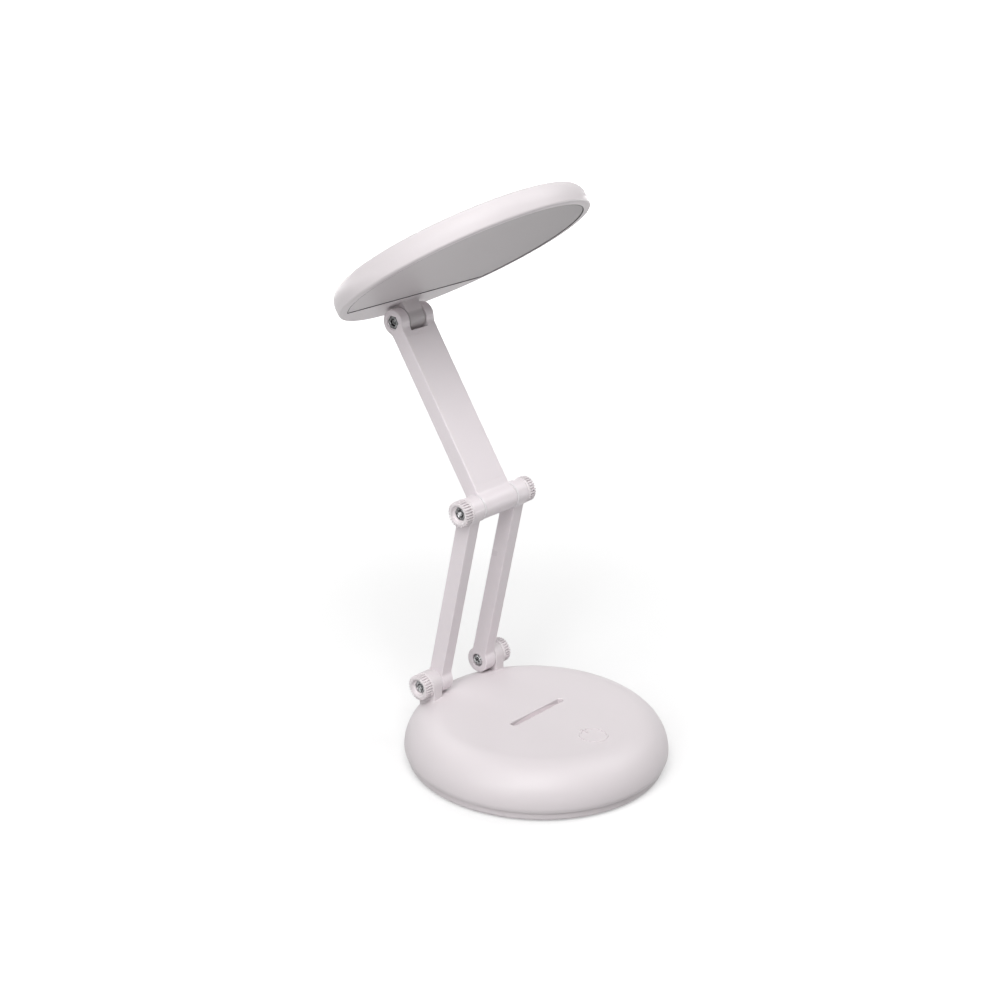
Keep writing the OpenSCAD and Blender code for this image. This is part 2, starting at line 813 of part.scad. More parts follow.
module head_housing() {
    color([0.90, 0.87, 0.89])
    head_frame()
        difference() {
            union() {
                difference() {
                    head_disc(0);
                    head_disc(head_wall);
                    cut_disc(diffuser_r - ledge_w, diffuser_cut - ledge_w, -1, ledge_z + ledge_t + 1);
                    cut_disc(diffuser_r, diffuser_cut, -1, ledge_z);
                }
                // knuckle of the head hinge
                translate([0, head_reach, -head_drop]) barrel(knuckle_r, -knuckle_half, knuckle_half);
                translate([-knuckle_half, head_reach - knuckle_r, -head_drop])
                    cube([2 * knuckle_half, 2 * knuckle_r, head_drop + head_wall]);
                at_board_screws()
                    translate([0, 0, board_z + board_t])
                        cylinder(r = led_boss_r, h = board_gap + led_boss_root);
            }
            translate([0, head_reach, -head_drop])
                cross_rod(bore_r, -knuckle_half - eps, knuckle_half + eps);
            at_board_screws()
                translate([0, 0, board_z + board_t - eps])
                    cylinder(r = led_screw_r, h = board_gap + led_bore_l);
        }
}

module diffuser() {
    color([0.74, 0.73, 0.75])
    head_frame()
        cut_disc(diffuser_r - seam_gap, diffuser_cut - seam_gap, diffuser_step, ledge_z);
}

module at_chips() {
    for (ring = chip_rings)
        for (i = [0 : ring[1] - 1])
            rotate([0, 0, 360 * (i + 0.5) / ring[1]]) translate([ring[0], 0, 0]) children();
}

module led_board() {
    color([0.92, 0.92, 0.90])
    head_frame()
        difference() {
            translate([0, 0, board_z]) cylinder(r = board_r, h = board_t);
            at_board_screws()
                translate([0, 0, board_z - 1]) cylinder(r = led_screw_r + seat_gap, h = board_t + 2);
        }
}

module led_chips() {
    color([0.95, 0.86, 0.45])
    head_frame()
        at_chips() translate([-chip_w / 2, -chip_l / 2, board_z - chip_t]) cube([chip_w, chip_l, chip_t]);
}

module reflector_sheet() {
    color([0.97, 0.97, 0.97])
    head_frame()
        difference() {
            translate([0, 0, board_z - sheet_t]) cylinder(r = board_r, h = sheet_t);
            at_chips() translate([0, 0, board_z - 1]) cylinder(r = chip_window_r, h = 2);
            at_board_screws() translate([0, 0, board_z - 1]) cylinder(r = led_screw[0] + seat_gap, h = 2);
        }
}

module led_board_screws() {
    color([0.62, 0.62, 0.64])
    head_frame()
        at_board_screws()
            translate([0, 0, board_z - led_screw[1]]) small_screw(led_screw, led_screw_r);
}

module lead_head() {
    z = ledge_z + ledge_t + lead_r + run_gap;
    head_frame()
        lead_run([
            [head_lead_x, head_reach, z],
            [head_lead_x, board_r + 4, z],
            [head_lead_x, board_r - 3, board_z - lead_r - sheet_t]
        ]);
}

base_housing();
base_plate();
anti_slip_pad();
plate_screws();
ballast_block();
battery_cell();
control_board();
board_screws();
charging_socket();
touch_electrode();
lead_base();
base_knob_left();
base_knob_right();
base_nut_left();
base_nut_right();
lower_arm_left();
lower_arm_right();
base_hinge_screws();
base_hinge_washers();
mid_hinge_washers();
lead_lower_arm();
mid_knob_left();
mid_knob_right();
mid_nut();
mid_hinge_bolt();
upper_arm();
upper_arm_cover();
head_hinge_screw();
head_hinge_nut();
lead_upper_arm();
head_housing();
diffuser();
reflector_sheet();
led_board();
led_chips();
led_board_screws();
lead_head();
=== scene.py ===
import json
import math

import bmesh
import bpy
from mathutils import Matrix, Vector


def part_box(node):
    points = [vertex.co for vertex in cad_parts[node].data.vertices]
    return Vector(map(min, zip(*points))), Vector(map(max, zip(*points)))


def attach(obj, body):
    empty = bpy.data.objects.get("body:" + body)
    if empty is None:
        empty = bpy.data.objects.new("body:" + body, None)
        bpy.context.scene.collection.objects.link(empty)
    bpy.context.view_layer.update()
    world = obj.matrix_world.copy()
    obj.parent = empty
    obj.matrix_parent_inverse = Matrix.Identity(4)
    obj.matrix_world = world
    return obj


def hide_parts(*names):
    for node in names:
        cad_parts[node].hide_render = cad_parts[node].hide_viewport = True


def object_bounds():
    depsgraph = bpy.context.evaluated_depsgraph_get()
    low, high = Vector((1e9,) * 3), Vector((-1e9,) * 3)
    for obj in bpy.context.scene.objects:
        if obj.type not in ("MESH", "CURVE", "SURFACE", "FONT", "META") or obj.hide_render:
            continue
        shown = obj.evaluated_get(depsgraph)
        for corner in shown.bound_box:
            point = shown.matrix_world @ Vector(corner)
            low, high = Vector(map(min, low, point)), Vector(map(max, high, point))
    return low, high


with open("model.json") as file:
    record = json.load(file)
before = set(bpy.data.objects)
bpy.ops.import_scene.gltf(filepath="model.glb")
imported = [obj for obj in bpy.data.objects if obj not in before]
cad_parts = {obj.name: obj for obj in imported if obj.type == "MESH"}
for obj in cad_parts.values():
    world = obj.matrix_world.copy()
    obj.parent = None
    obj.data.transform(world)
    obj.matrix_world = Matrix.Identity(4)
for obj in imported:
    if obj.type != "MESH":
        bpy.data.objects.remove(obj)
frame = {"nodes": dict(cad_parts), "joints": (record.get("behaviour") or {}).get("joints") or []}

cad_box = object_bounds()

# Camera
# The photograph's view, found by fitting the lamp's outlines, hinge seams and card slot: the lens,
# the camera's place, and the bearing, height and roll of its line of sight.
camera_place = Vector((-0.6230, -0.5145, 0.4436))
camera_bearing = math.radians(-49.10)
camera_height = math.radians(21.49)
camera_roll = math.radians(1.31)

camera_data = bpy.data.cameras.new("camera")
camera_data.sensor_width = 36
camera_data.lens = 72.143
camera_data.clip_start = 0.05
camera_data.clip_end = 20
camera = bpy.data.objects.new("camera", camera_data)
bpy.context.scene.collection.objects.link(camera)
bpy.context.scene.camera = camera
flat = math.cos(camera_height)
backward = Vector((
    math.sin(camera_bearing) * flat,
    -math.cos(camera_bearing) * flat,
    math.sin(camera_height),
))
level = Vector((math.cos(camera_bearing), math.sin(camera_bearing), 0))
upright = backward.cross(level)
rightward = level * math.cos(camera_roll) + upright * math.sin(camera_roll)
upward = upright * math.cos(camera_roll) - level * math.sin(camera_roll)
camera_turn = Matrix((rightward, upward, backward)).transposed().to_4x4()
camera.matrix_world = Matrix.Translation(camera_place) @ camera_turn

# Foot pad
# A round of closed-cell rubber, let into the bottom plate and stuck there. The lamp stands on it.
mm = 0.001
centre_r = 0.3 * mm
pad_edge = 0.4 * mm
pad_face_w = 3 * mm
pad_colour = (0.045, 0.045, 0.048)


def arc(centre, radius, start, stop, steps):
    """Points of an arc about a centre, between two angles in degrees, both ends in."""
    turns = [math.radians(start + (stop - start) * k / steps) for k in range(steps + 1)]
    return [(centre[0] + radius * math.cos(t), centre[1] + radius * math.sin(t)) for t in turns]


def rounded(corners, steps=5, closed=True):
    """Outline through corners (x, y, radius), each one rounded off with its radius."""
    points = []
    for i, (x, y, radius) in enumerate(corners):
        here = Vector((x, y))
        if radius == 0 or (not closed and i in (0, len(corners) - 1)):
            points.append((x, y))
            continue
        before = (Vector(corners[i - 1][:2]) - here).normalized()
        after = (Vector(corners[(i + 1) % len(corners)][:2]) - here).normalized()
        half = math.acos(max(-1, min(1, before.dot(after)))) / 2
        centre = here + (before + after).normalized() * radius / math.sin(half)
        start = here + before * radius / math.tan(half) - centre
        stop = here + after * radius / math.tan(half) - centre
        sweep = math.atan2(start.x * stop.y - start.y * stop.x, start.dot(stop))
        first = math.atan2(start.y, start.x)
        points += arc(centre, radius, math.degrees(first), math.degrees(first + sweep), steps)
    return points


def skin(name, rings, place=Matrix(), joined=False):
    """Closed mesh through rings of points, with flat ends, or with its last ring joined to the first."""
    mesh = bmesh.new()
    loops = [[mesh.verts.new(place @ Vector(point)) for point in ring] for ring in rings]
    pairs = list(zip(loops, loops[1:])) + ([(loops[-1], loops[0])] if joined else [])
    count = len(loops[0])
    for low, high in pairs:
        for k in range(count):
            n = (k + 1) % count
            mesh.faces.new((low[k], low[n], high[n], high[k]))
    if not joined:
        mesh.faces.new(list(reversed(loops[0])))
        mesh.faces.new(loops[-1])
    bmesh.ops.recalc_face_normals(mesh, faces=mesh.faces)
    data = bpy.data.meshes.new(name)
    mesh.to_mesh(data)
    mesh.free()
    piece = bpy.data.objects.new(name, data)
    bpy.context.scene.collection.objects.link(piece)
    return piece


def lathe(name, profile, place=Matrix(), count=96, joined=False):
    """Solid turned about its Z from a profile (radius, height). A radius may be a function of the turn."""
    def at(radius, turn):
        return radius(turn) if callable(radius) else radius
    turns = [math.tau * k / count for k in range(count)]
    rings = [
        [(at(radius, t) * math.cos(t), at(radius, t) * math.sin(t), height) for t in turns]
        for radius, height in profile
    ]
    return skin(name, rings, place, joined)


class Wire:
    """A shader socket that takes part in sums and products, each of which adds its Math node."""

    def __init__(self, finish, socket):
        self.finish = finish
        self.socket = socket

    def out(self, name):
        """Another output of the same node."""
        return Wire(self.finish, self.socket.node.outputs[name])

    def math(self, operation, first, second):
        return self.finish.add("Math", {"operation": operation}, {0: first, 1: second})

    def __add__(self, other):
        return self.math("ADD", self, other)

    def __sub__(self, other):
        return self.math("SUBTRACT", self, other)

    def __rsub__(self, other):
        return self.math("SUBTRACT", other, self)

    def __mul__(self, other):
        return self.math("MULTIPLY", self, other)

    __radd__ = __add__
    __rmul__ = __mul__


class Finish:
    """A node material, or a world given as its owner, that is built up one node at a time."""

    def __init__(self, name, owner=None):
        self.material = owner or bpy.data.materials.new(name)
        self.material.use_nodes = True
        self.tree = self.material.node_tree
        self.tree.nodes.clear()
        self.place = self.add("TexCoord").out("Object")

    def add(self, kind, settings=None, sockets=None):
        """Makes a node, sets it up, links or sets its sockets, and gives its first output."""
        node = self.tree.nodes.new("ShaderNode" + kind)
        for name, value in (settings or {}).items():
            if name == "stops":
                elements = node.color_ramp.elements
                while len(elements) < len(value):
                    elements.new(1)
                for stop, (position, grey) in zip(elements, value):
                    stop.position = position
                    stop.color = (grey, grey, grey, 1)
            else:
                setattr(node, name, value)
        for name, value in (sockets or {}).items():
            if isinstance(value, Wire):
                self.tree.links.new(value.socket, node.inputs[name])
            else:
                node.inputs[name].default_value = value
        shown = [socket for socket in node.outputs if socket.enabled]
        return Wire(self, shown[0]) if shown else None

    def noise(self, scale, detail=2, stretch=(1, 1, 1)):
        along = self.add("Mapping", {}, {"Vector": self.place, "Scale": stretch})
        return self.add("TexNoise", {}, {"Vector": along, "Scale": scale, "Detail": detail})

    def ramp(self, value, *stops):
        return self.add("ValToRGB", {"stops": stops}, {"Fac": value})

    def mix(self, amount, first, second):
        """Colour between the first (amount 0) and the second (amount 1)."""
        colours = [value if isinstance(value, Wire) else (*value, 1) for value in (first, second)]
        settings = {"data_type": "RGBA"}
        node = self.add("Mix", settings, {0: amount, 6: colours[0], 7: colours[1]}).socket.node
        return Wire(self, node.outputs[2])

    def surface(self, colour, roughness, relief, depth, metallic=0.0, **fixed):
        """Principled surface. The relief is a height from 0 to 1 that stands for a real depth."""
        bump = self.add("Bump", {}, {"Height": relief, "Distance": depth, "Strength": 1.0})
        sockets = {"Base Color": colour, "Roughness": roughness, "Metallic": metallic, "Normal": bump}
        sockets.update({name.replace("_", " "): value for name, value in fixed.items()})
        shader = self.add("BsdfPrincipled", {}, sockets)
        self.add("OutputMaterial", {}, {"Surface": shader})
        return self.material


def tone(colour, factor):
    """The colour, lighter or darker by a factor."""
    return tuple(min(1, channel * factor) for channel in colour)


def foam_rubber():
    """Matt black rubber with fine closed cells and a little pale dust."""
    finish = Finish("foam_rubber")
    cells = finish.add("TexVoronoi", {}, {"Vector": finish.place, "Scale": 1400})
    dust = finish.ramp(finish.noise(90, 4), (0.45, 0), (0.8, 0.35))
    colour = finish.mix(dust, pad_colour, tone(pad_colour, 4))
    return finish.surface(colour, 0.82 + 0.1 * dust, cells, 0.12 * mm)


def dress(piece, body, slot, finish, *nodes, crease=32):
    """Gives a finished piece its shading and material, and its place in the frame."""
    piece.data.shade_smooth()
    piece.data.set_sharp_from_angle(angle=math.radians(crease))
    shading = piece.modifiers.new("even_shading", "WEIGHTED_NORMAL")
    shading.keep_sharp = True
    piece.data.materials.clear()
    piece.data.materials.append(finish)
    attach(piece, body)
    if nodes:
        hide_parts(*nodes)


pad_low, pad_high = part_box("anti_slip_pad")
foot_pad = lathe("foot_pad", rounded([
    (pad_high.x - pad_face_w, pad_low.z, 0),
    (pad_high.x, pad_low.z, pad_edge),
    (pad_high.x, pad_high.z, 0),
], closed=False), count=144)
rubber = foam_rubber()
dress(foot_pad, "base", "pad_rubber", rubber, "anti_slip_pad")

# Bottom plate
# A dish moulded in the shell's plastic. Its rolled edge shows as a thin band under the shell, and it
# carries two cradles for the cell and two posts for the board.
shell_colour = (0.750, 0.700, 0.718)
plate_wall = 1.8 * mm
plate_floor = 1.8 * mm
plate_roll = 1.6 * mm
plate_fillet = 0.5 * mm
plate_band_z = 5.2 * mm
pad_play = 0.1 * mm
small_edge = 0.2 * mm
beyond = 1 * mm
rooting = 0.5 * mm
board_screw_r = 2.2 * mm
post_w = 5.2 * mm
post_corner = 2.59 * mm
cradle_w = 3 * mm
cradle_l = 18 * mm
cradle_x = 21.7 * mm
cradle_h = 4 * mm
cradle_corner = 0.3 * mm


def within(finish, centre, radii):
    """Mask of the places inside a rounded body about a centre. A radius of 0 leaves that axis out."""
    away = finish.add("VectorMath", {"operation": "SUBTRACT"}, {0: finish.place, 1: centre})
    scale = [1 / radius if radius else 0 for radius in radii]
    away = finish.add("VectorMath", {"operation": "MULTIPLY"}, {0: away, 1: scale})
    away = finish.add("VectorMath", {"operation": "LENGTH"}, {0: away}).out("Value")
    return finish.ramp(away * 0.5, (0.47, 1), (0.5, 0))


def moulded(name, colour, roughness=0.42, grain=0.006 * mm, painted_shading_spot=None, painted_shading_tone=1.0):
    """Moulded plastic: a spark-eroded grain, slow drifts in shade and sheen, a few faint rubs, and a spot of
    painted shading.
    """
    finish = Finish(name)
    drift = finish.noise(28, 3)
    rubs = finish.ramp(finish.noise(160, 5, (1, 0.25, 1)), (0.58, 0), (0.72, 1))
    spark = finish.noise(3800, 2)
    shade = finish.mix(drift, tone(colour, 0.985), tone(colour, 1.012))
    worn_and_painted_shading = finish.mix(rubs * 0.03, shade, tone(colour, 1.08))
    # A given spot is painted lighter or darker than the rest: painted light above a tone of 1, painted shade
    # below it.
    if painted_shading_spot:
        worn_and_painted_shading = finish.mix(within(finish, *painted_shading_spot), worn_and_painted_shading, tone(colour, painted_shading_tone))
    sheen = roughness + 0.07 * (drift - 0.5) - 0.02 * rubs
    return finish.surface(worn_and_painted_shading, sheen, spark, grain)


shell_plastic = moulded("shell_plastic", shell_colour)


def settle(piece):
    """Makes the piece's modifiers part of its mesh."""
    graph = bpy.context.evaluated_depsgraph_get()
    data = bpy.data.meshes.new_from_object(piece.evaluated_get(graph))
    piece.modifiers.clear()
    piece.data = data


def join(piece, other, operation="UNION"):
    """Fuses another closed mesh to the piece, or takes it away."""
    change = piece.modifiers.new("join", "BOOLEAN")
    change.solver = "EXACT"
    change.operation = operation
    change.object = other
    settle(piece)
    bpy.data.objects.remove(other)


def carve(piece, tool):
    """Takes a tool's shape away from the piece."""
    join(piece, tool, "DIFFERENCE")


def offset(outline, amounts):
    """The outline moved outwards by an amount for each of its points."""
    result = []
    for i, (x, y) in enumerate(outline):
        after = Vector(outline[(i + 1) % len(outline)])
        way = (after - Vector(outline[i - 1])).normalized()
        result.append((x + way.y * amounts[i], y - way.x * amounts[i]))
    return result


def tidy(outline):
    """The outline without doubled points."""
    return [p for i, p in enumerate(outline) if (Vector(p) - Vector(outline[i - 1])).length > 1e-6]


def slab(name, outline, low, high, rim, place=Matrix(), steps=4):
    """Solid of one outline between two heights, its rims rounded by one radius or one for each point."""
    rims = rim if isinstance(rim, list) else [rim] * len(outline)
    rings = []
    for side, sign in ((low, 1), (high, -1)):
        turns = [math.pi / 2 * k / steps for k in range(steps + 1)]
        for turn in turns if sign == 1 else reversed(turns):
            inset = offset(outline, [-r * (1 - math.sin(turn)) for r in rims])
            rings.append([
                (x, y, side + sign * r * (1 - math.cos(turn))) for (x, y), r in zip(inset, rims)
            ])
    return skin(name, rings, place)


def prism(name, outline, low, high, place=Matrix()):
    """Tool of one outline between two heights."""
    return skin(name, [[(x, y, height) for x, y in outline] for height in (low, high)], place)


def well(name, outline, floor, mouth, lip, place=Matrix(), steps=4):
    """Tool for a hole of one outline whose mouth flares out with a rounded lip."""
    rings = [[(x, y, floor) for x, y in outline]]
    for k in range(steps + 1):
        turn = math.pi / 2 * k / steps
        flared = offset(outline, [lip * (1 - math.cos(turn))] * len(outline))
        rings.append([(x, y, mouth - lip + lip * math.sin(turn)) for x, y in flared])
    over = offset(outline, [lip * 1.5] * len(outline))
    rings.append([(x, y, mouth + lip) for x, y in over])
    return skin(name, rings, place)


def oblong(width, depth, radius, steps=5):
    """Rectangle about the origin with rounded corners."""
    w, d = width / 2, depth / 2
    return rounded([(w, -d, radius), (w, d, radius), (-w, d, radius), (-w, -d, radius)], steps)


def moved(x, y, z):
    """Frame shifted along its axes."""
    return Matrix.Translation((x, y, z))


plate_low, plate_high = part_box("base_plate")
plate_r = plate_high.x
plate_top = plate_low.z + plate_floor
bottom_plate = lathe("bottom_plate", rounded([
    (centre_r, plate_low.z, 0),
    (plate_r, plate_low.z, plate_roll),
    (plate_r, plate_band_z, small_edge),
    (plate_r - plate_wall, plate_band_z, small_edge),
    (plate_r - plate_wall, plate_top, plate_fillet),
    (centre_r, plate_top, 0),
], closed=False), count=192)
pad_seat_r = pad_high.x + pad_play
carve(bottom_plate, lathe("pad_seat", [(pad_seat_r, -beyond), (pad_seat_r, pad_high.z)], count=144))
cell_low, cell_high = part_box("battery_cell")
cell_mid = (cell_low + cell_high) / 2
board_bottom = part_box("control_board")[0].z
board_screw_low, board_screw_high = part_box("board_screws")
post_x = board_screw_low.x + board_screw_r
post_y = (board_screw_low.y + board_screw_high.y) / 2
post_outline = oblong(post_w, post_w, post_corner)
for side in (-1, 1):
    place = moved(post_x * side, post_y, 0)
    join(bottom_plate, slab("post", post_outline, plate_top - rooting, board_bottom, small_edge, place))
cradle_outline = oblong(cradle_w, cradle_l, cradle_corner)
for side in (-1, 1):
    place = moved(side * cradle_x, cell_mid.y, 0)
    ends = (plate_top - rooting, plate_top + cradle_h)
    join(bottom_plate, slab("cradle", cradle_outline, *ends, small_edge, place))
dress(bottom_plate, "base", "shell_white", shell_plastic, "base_plate")

# Plate screws
# Four self-tapping screws under the pad, their heads sunk in the plate. Only taking the pad off shows them.
steel_colour = (0.16, 0.16, 0.163)


def plated_steel(name, colour, roughness=0.3):
    """Zinc-plated steel: turning marks, and small bright specks, partly plating rubbed bare and partly
    painted glints.
    """
    finish = Finish(name)
    bare_specks_and_glints = finish.ramp(finish.noise(1500, 3), (0.46, 0), (0.62, 1))
    marks = finish.noise(5000, 2, (0.08, 1, 1))
    # The bright specks are partly painted glints; the dark ground between them is the plating.
    shade = finish.mix(bare_specks_and_glints, tone(colour, 0.5), tone(colour, 2.6))
    sheen = roughness + 0.12 * (0.5 - bare_specks_and_glints)
    return finish.surface(shade, sheen, marks, 0.008 * mm, metallic=1.0)


def keep(node, finish):
    """Leaves a node of the frame in sight, with its own finish."""
    for place in frame["nodes"][node].material_slots:
        place.material = finish


steel = plated_steel("plated_steel", steel_colour)
keep("plate_screws", steel)

# Ballast block
# A sheared steel slab on the plate's floor that keeps the lamp from tipping over backwards.
ballast_colour = (0.17, 0.165, 0.16)
rust_colour = (0.2, 0.09, 0.04)


def raw_steel():
    """Hot-rolled steel with mill scale and a little rust."""
    finish = Finish("raw_steel")
    scale = finish.noise(320, 6)
    rust = finish.ramp(finish.noise(60, 4), (0.55, 0), (0.8, 1))
    bare = finish.mix(scale, tone(ballast_colour, 0.7), tone(ballast_colour, 1.4))
    colour = finish.mix(rust, bare, rust_colour)
    return finish.surface(colour, 0.55 + 0.3 * rust, scale, 0.04 * mm, metallic=1 - 0.8 * rust)


keep("ballast_block", raw_steel())

# Battery cell
# One round cell in shrink-wrapped film, in the plate's cradles.
wrap_colour = (0.10, 0.24, 0.42)


def shrink_wrap():
    """Glossy film, drawn into faint ripples, over a metal can."""
    finish = Finish("shrink_wrap")
    ripples = finish.noise(420, 2, (0.2, 1, 1))
    colour = finish.mix(finish.noise(50, 2), tone(wrap_colour, 0.9), tone(wrap_colour, 1.1))
    return finish.surface(colour, 0.22 + 0.1 * ripples, ripples, 0.03 * mm)


keep("battery_cell", shrink_wrap())

# Control board
# A small printed board on two posts, with the charging socket soldered to its rear edge.
mask_colour = (0.02, 0.13, 0.06)


def solder_mask(name, colour, track_pitch=0.9 * mm):
    """Lacquered board whose copper tracks stand out as slightly raised, lighter lines."""
    finish = Finish(name)
    settings = {"wave_type": "BANDS", "bands_direction": "X", "wave_profile": "TRI"}
    sockets = {"Vector": finish.place, "Scale": 1 / (6 * track_pitch), "Distortion": 2.0}
    waves = finish.add("TexWave", settings, sockets)
    tracks = finish.ramp(waves, (0.55, 0), (0.65, 1))
    shade = finish.mix(tracks, colour, tone(colour, 1.5))
    return finish.surface(shade, 0.35 + 0.1 * finish.noise(900), tracks, 0.03 * mm)


keep("control_board", solder_mask("solder_mask_green", mask_colour))
keep("board_screws", steel)

# Charging socket
# A drawn steel shell with round ends, a tongue inside, open at the rear of the base.
socket_low, socket_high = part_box("charging_socket")
socket_wall = 0.35 * mm
socket_mid = (socket_low + socket_high) / 2
socket_w = socket_high.x - socket_low.x
socket_h = socket_high.z - socket_low.z
socket_frame = Matrix(((1, 0, 0, 0), (0, 0, -1, 0), (0, 1, 0, 0), (0, 0, 0, 1)))
tongue_h = 0.7 * mm
tongue_w = 6.4 * mm
tongue_corner = 0.25 * mm
tongue_edge = 0.15 * mm
tongue_back = 0.6 * mm
socket_edge = 0.1 * mm
socket_lip = 1.2 * mm
round_end = 0.01 * mm
tongue_colour = (0.02, 0.02, 0.022)
facing_back = moved(socket_mid.x, 0, socket_mid.z) @ socket_frame
socket_outline = oblong(socket_w, socket_h, socket_h / 2 - round_end, 8)
shell_ends = (-socket_high.y, -socket_low.y)
charging_shell = slab("charging_shell", socket_outline, *shell_ends, socket_edge, facing_back)
inner_w, inner_h = socket_w - 2 * socket_wall, socket_h - 2 * socket_wall
inner_outline = oblong(inner_w, inner_h, inner_h / 2 - round_end, 8)
socket_ends = (-socket_high.y - beyond, -socket_low.y - socket_lip)
carve(charging_shell, prism("socket_hollow", inner_outline, *socket_ends, facing_back))
dress(charging_shell, "base", "hinge_steel", steel, "charging_socket")


def glossy_black():
    """Dark glass-filled moulding with a faint cloud in its gloss."""
    finish = Finish("glossy_black")
    cloud = finish.noise(500, 3)
    colour = finish.mix(cloud, tongue_colour, tone(tongue_colour, 1.5))
    return finish.surface(colour, 0.3 + 0.1 * cloud, finish.noise(3000), 0.004 * mm)


tongue_outline = oblong(tongue_w, tongue_h, tongue_corner)
tongue_ends = (-socket_high.y + tongue_back, -socket_low.y - socket_lip)
socket_tongue = slab("socket_tongue", tongue_outline, *tongue_ends, tongue_edge, facing_back)
dress(socket_tongue, "base", "hinge_steel", glossy_black())

# Touch electrode
# A copper disc under the shell's top that feels a finger through the plastic.
copper_colour = (0.60, 0.27, 0.15)


def bare_copper():
    """Copper foil with fingerprints and first tarnish."""
    finish = Finish("bare_copper")
    tarnish = finish.ramp(finish.noise(300, 5), (0.4, 0), (0.75, 1))
    colour = finish.mix(tarnish, copper_colour, tone(copper_colour, 0.5))
    return finish.surface(colour, 0.25 + 0.3 * tarnish, tarnish, 0.01 * mm, metallic=1.0)


keep("touch_electrode", bare_copper())

# Leads
# Thin insulated leads inside the base, the arms and the head. Closed housings hide all of them.
insulation_colour = (0.74, 0.73, 0.70)


def insulation():
    """Soft insulation with a dull bloom."""
    finish = Finish("insulation")
    bloom = finish.noise(260, 4)
    colour = finish.mix(bloom, tone(insulation_colour, 0.9), insulation_colour)
    return finish.surface(colour, 0.5 + 0.15 * bloom, bloom, 0.02 * mm)


lead_finish = insulation()
for lead in ("lead_base", "lead_lower_arm", "lead_upper_arm", "lead_head"):
    keep(lead, lead_finish)

# Base shell
# One domed moulding: a flat top that rolls over into a fat shoulder, a slot for a card, the touch
# mark, and two lugs at the back that carry the hinge.
shell_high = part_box("base_housing")[1]
base_r = shell_high.x
base_top = 23.3 * mm
shell_wall = 2.0 * mm
shoulder_w = 17 * mm
widest_z = 7 * mm
foot_r = base_r - 0.5 * mm
foot_z = 5.3 * mm
top_edge_w = 1.5 * mm
slot_l = 36 * mm
slot_w = 4.3 * mm
slot_depth = 6 * mm
slot_lip = 0.6 * mm
slot_wall = 1.5 * mm
# Painted light in the card slot: how much lighter its walls are painted, and the body they lie in.
slot_painted_light_tone = 1.26
slot_painted_light_depth = 3.3 * mm
slot_painted_light_size = (19 * mm, 3.5 * mm, 3.0 * mm)
port_play = 0.8 * mm
key_reach = 32.7 * mm
key_ring_r = 6.5 * mm
key_line_w = 0.85 * mm
key_height = 0.5 * mm
key_edge = 0.15 * mm
key_bar_l = 5.5 * mm
key_bar_drop = 1.2 * mm
key_opening = 15
hinge = {joint["name"]: Vector(joint["pos_m"]) for joint in frame["joints"]}
base_hinge = hinge["base_hinge"]
screw_r = 1.5 * mm
bore_r = screw_r + 0.05 * mm
bore_lip = 0.01 * mm
lug_play = 0.1 * mm
lug_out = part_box("base_knob_right")[0].x - lug_play
lug_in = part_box("base_hinge_washers")[1].x + lug_play
barrel_r = shell_high.z - base_hinge.z
lug_back = 2.2 * mm
lug_edge = 0.5 * mm
lug_root_z = 9 * mm
across_x = Matrix(((0, 0, 1, 0), (1, 0, 0, 0), (0, 1, 0, 0), (0, 0, 0, 1)))


def shoulder(low, high, power, steps=28):
    """Superellipse from the widest circle (radius, height) up to the edge of the flat top."""
    turns = [math.pi / 2 * k / steps for k in range(steps + 1)]
    return [
        (high[0] + (low[0] - high[0]) * math.cos(t) ** (2 / power),
         low[1] + (high[1] - low[1]) * math.sin(t) ** (2 / power)) for t in turns
    ]


def across(centre, side):
    """Frame at a hinge whose Z points outwards along the hinge axis, to the right or to the left."""
    return Matrix.Translation(centre) @ Matrix.Rotation(side * math.pi / 2, 4, "Y")


def beam_frame(centre, way):
    """Frame for an outline seen along the hinge axis: its X runs along way, and its Z is the hinge axis."""
    along = Vector((0, way.y, way.z)).normalized()
    axis = Vector((1, 0, 0))
    return Matrix.Translation(centre) @ Matrix((along, axis.cross(along), axis)).transposed().to_4x4()


def bore(radius, low, high, place, lip):
    """Tool for a round hole along a frame's Z, its far mouth eased."""
    return well("bore", arc((0, 0), radius, 0, 360 - 7.5, 47), low, high, lip, place)


dome_outer = [(foot_r, foot_z), (base_r - 0.15 * mm, widest_z - 0.8 * mm)]
dome_outer += shoulder((base_r, widest_z), (base_r - shoulder_w, base_top), 2)
dome_outer += [(base_r - shoulder_w - top_edge_w, base_top)]
base_shell = lathe("base_shell", dome_outer, count=216)
lug_floor = -(base_hinge.z - lug_root_z)
lug_foot = barrel_r - lug_back
lug_outline = arc((0, 0), barrel_r, -math.degrees(math.acos(lug_foot / barrel_r)), 180, 52)
lug_outline = tidy(lug_outline + [(-barrel_r, lug_floor), (lug_foot, lug_floor)])
lug_place = Matrix.Translation(base_hinge) @ across_x
for side in (-1, 1):
    ends = sorted((side * lug_in, side * lug_out))
    join(base_shell, slab("lug", lug_outline, *ends, lug_edge, lug_place))
hollow_profile = [(base_r - shell_wall, -beyond)]
hollow_top = (base_r - shoulder_w - shell_wall / 2, base_top - shell_wall)
hollow_profile += shoulder((base_r - shell_wall, widest_z), hollow_top, 2)
carve(base_shell, lathe("hollow", hollow_profile, count=216))
cup = oblong(slot_l + 2 * slot_wall, slot_w + 2 * slot_wall, slot_wall)
join(base_shell, slab("slot_cup", cup, base_top - slot_depth - slot_wall, base_top - 1 * mm, small_edge))
slot_inner = slot_w - 2 * slot_lip
slot_outline = oblong(slot_l - 2 * slot_lip, slot_inner, slot_inner / 2 - round_end, 8)
carve(base_shell, well("slot", slot_outline, base_top - slot_depth, base_top, slot_lip))
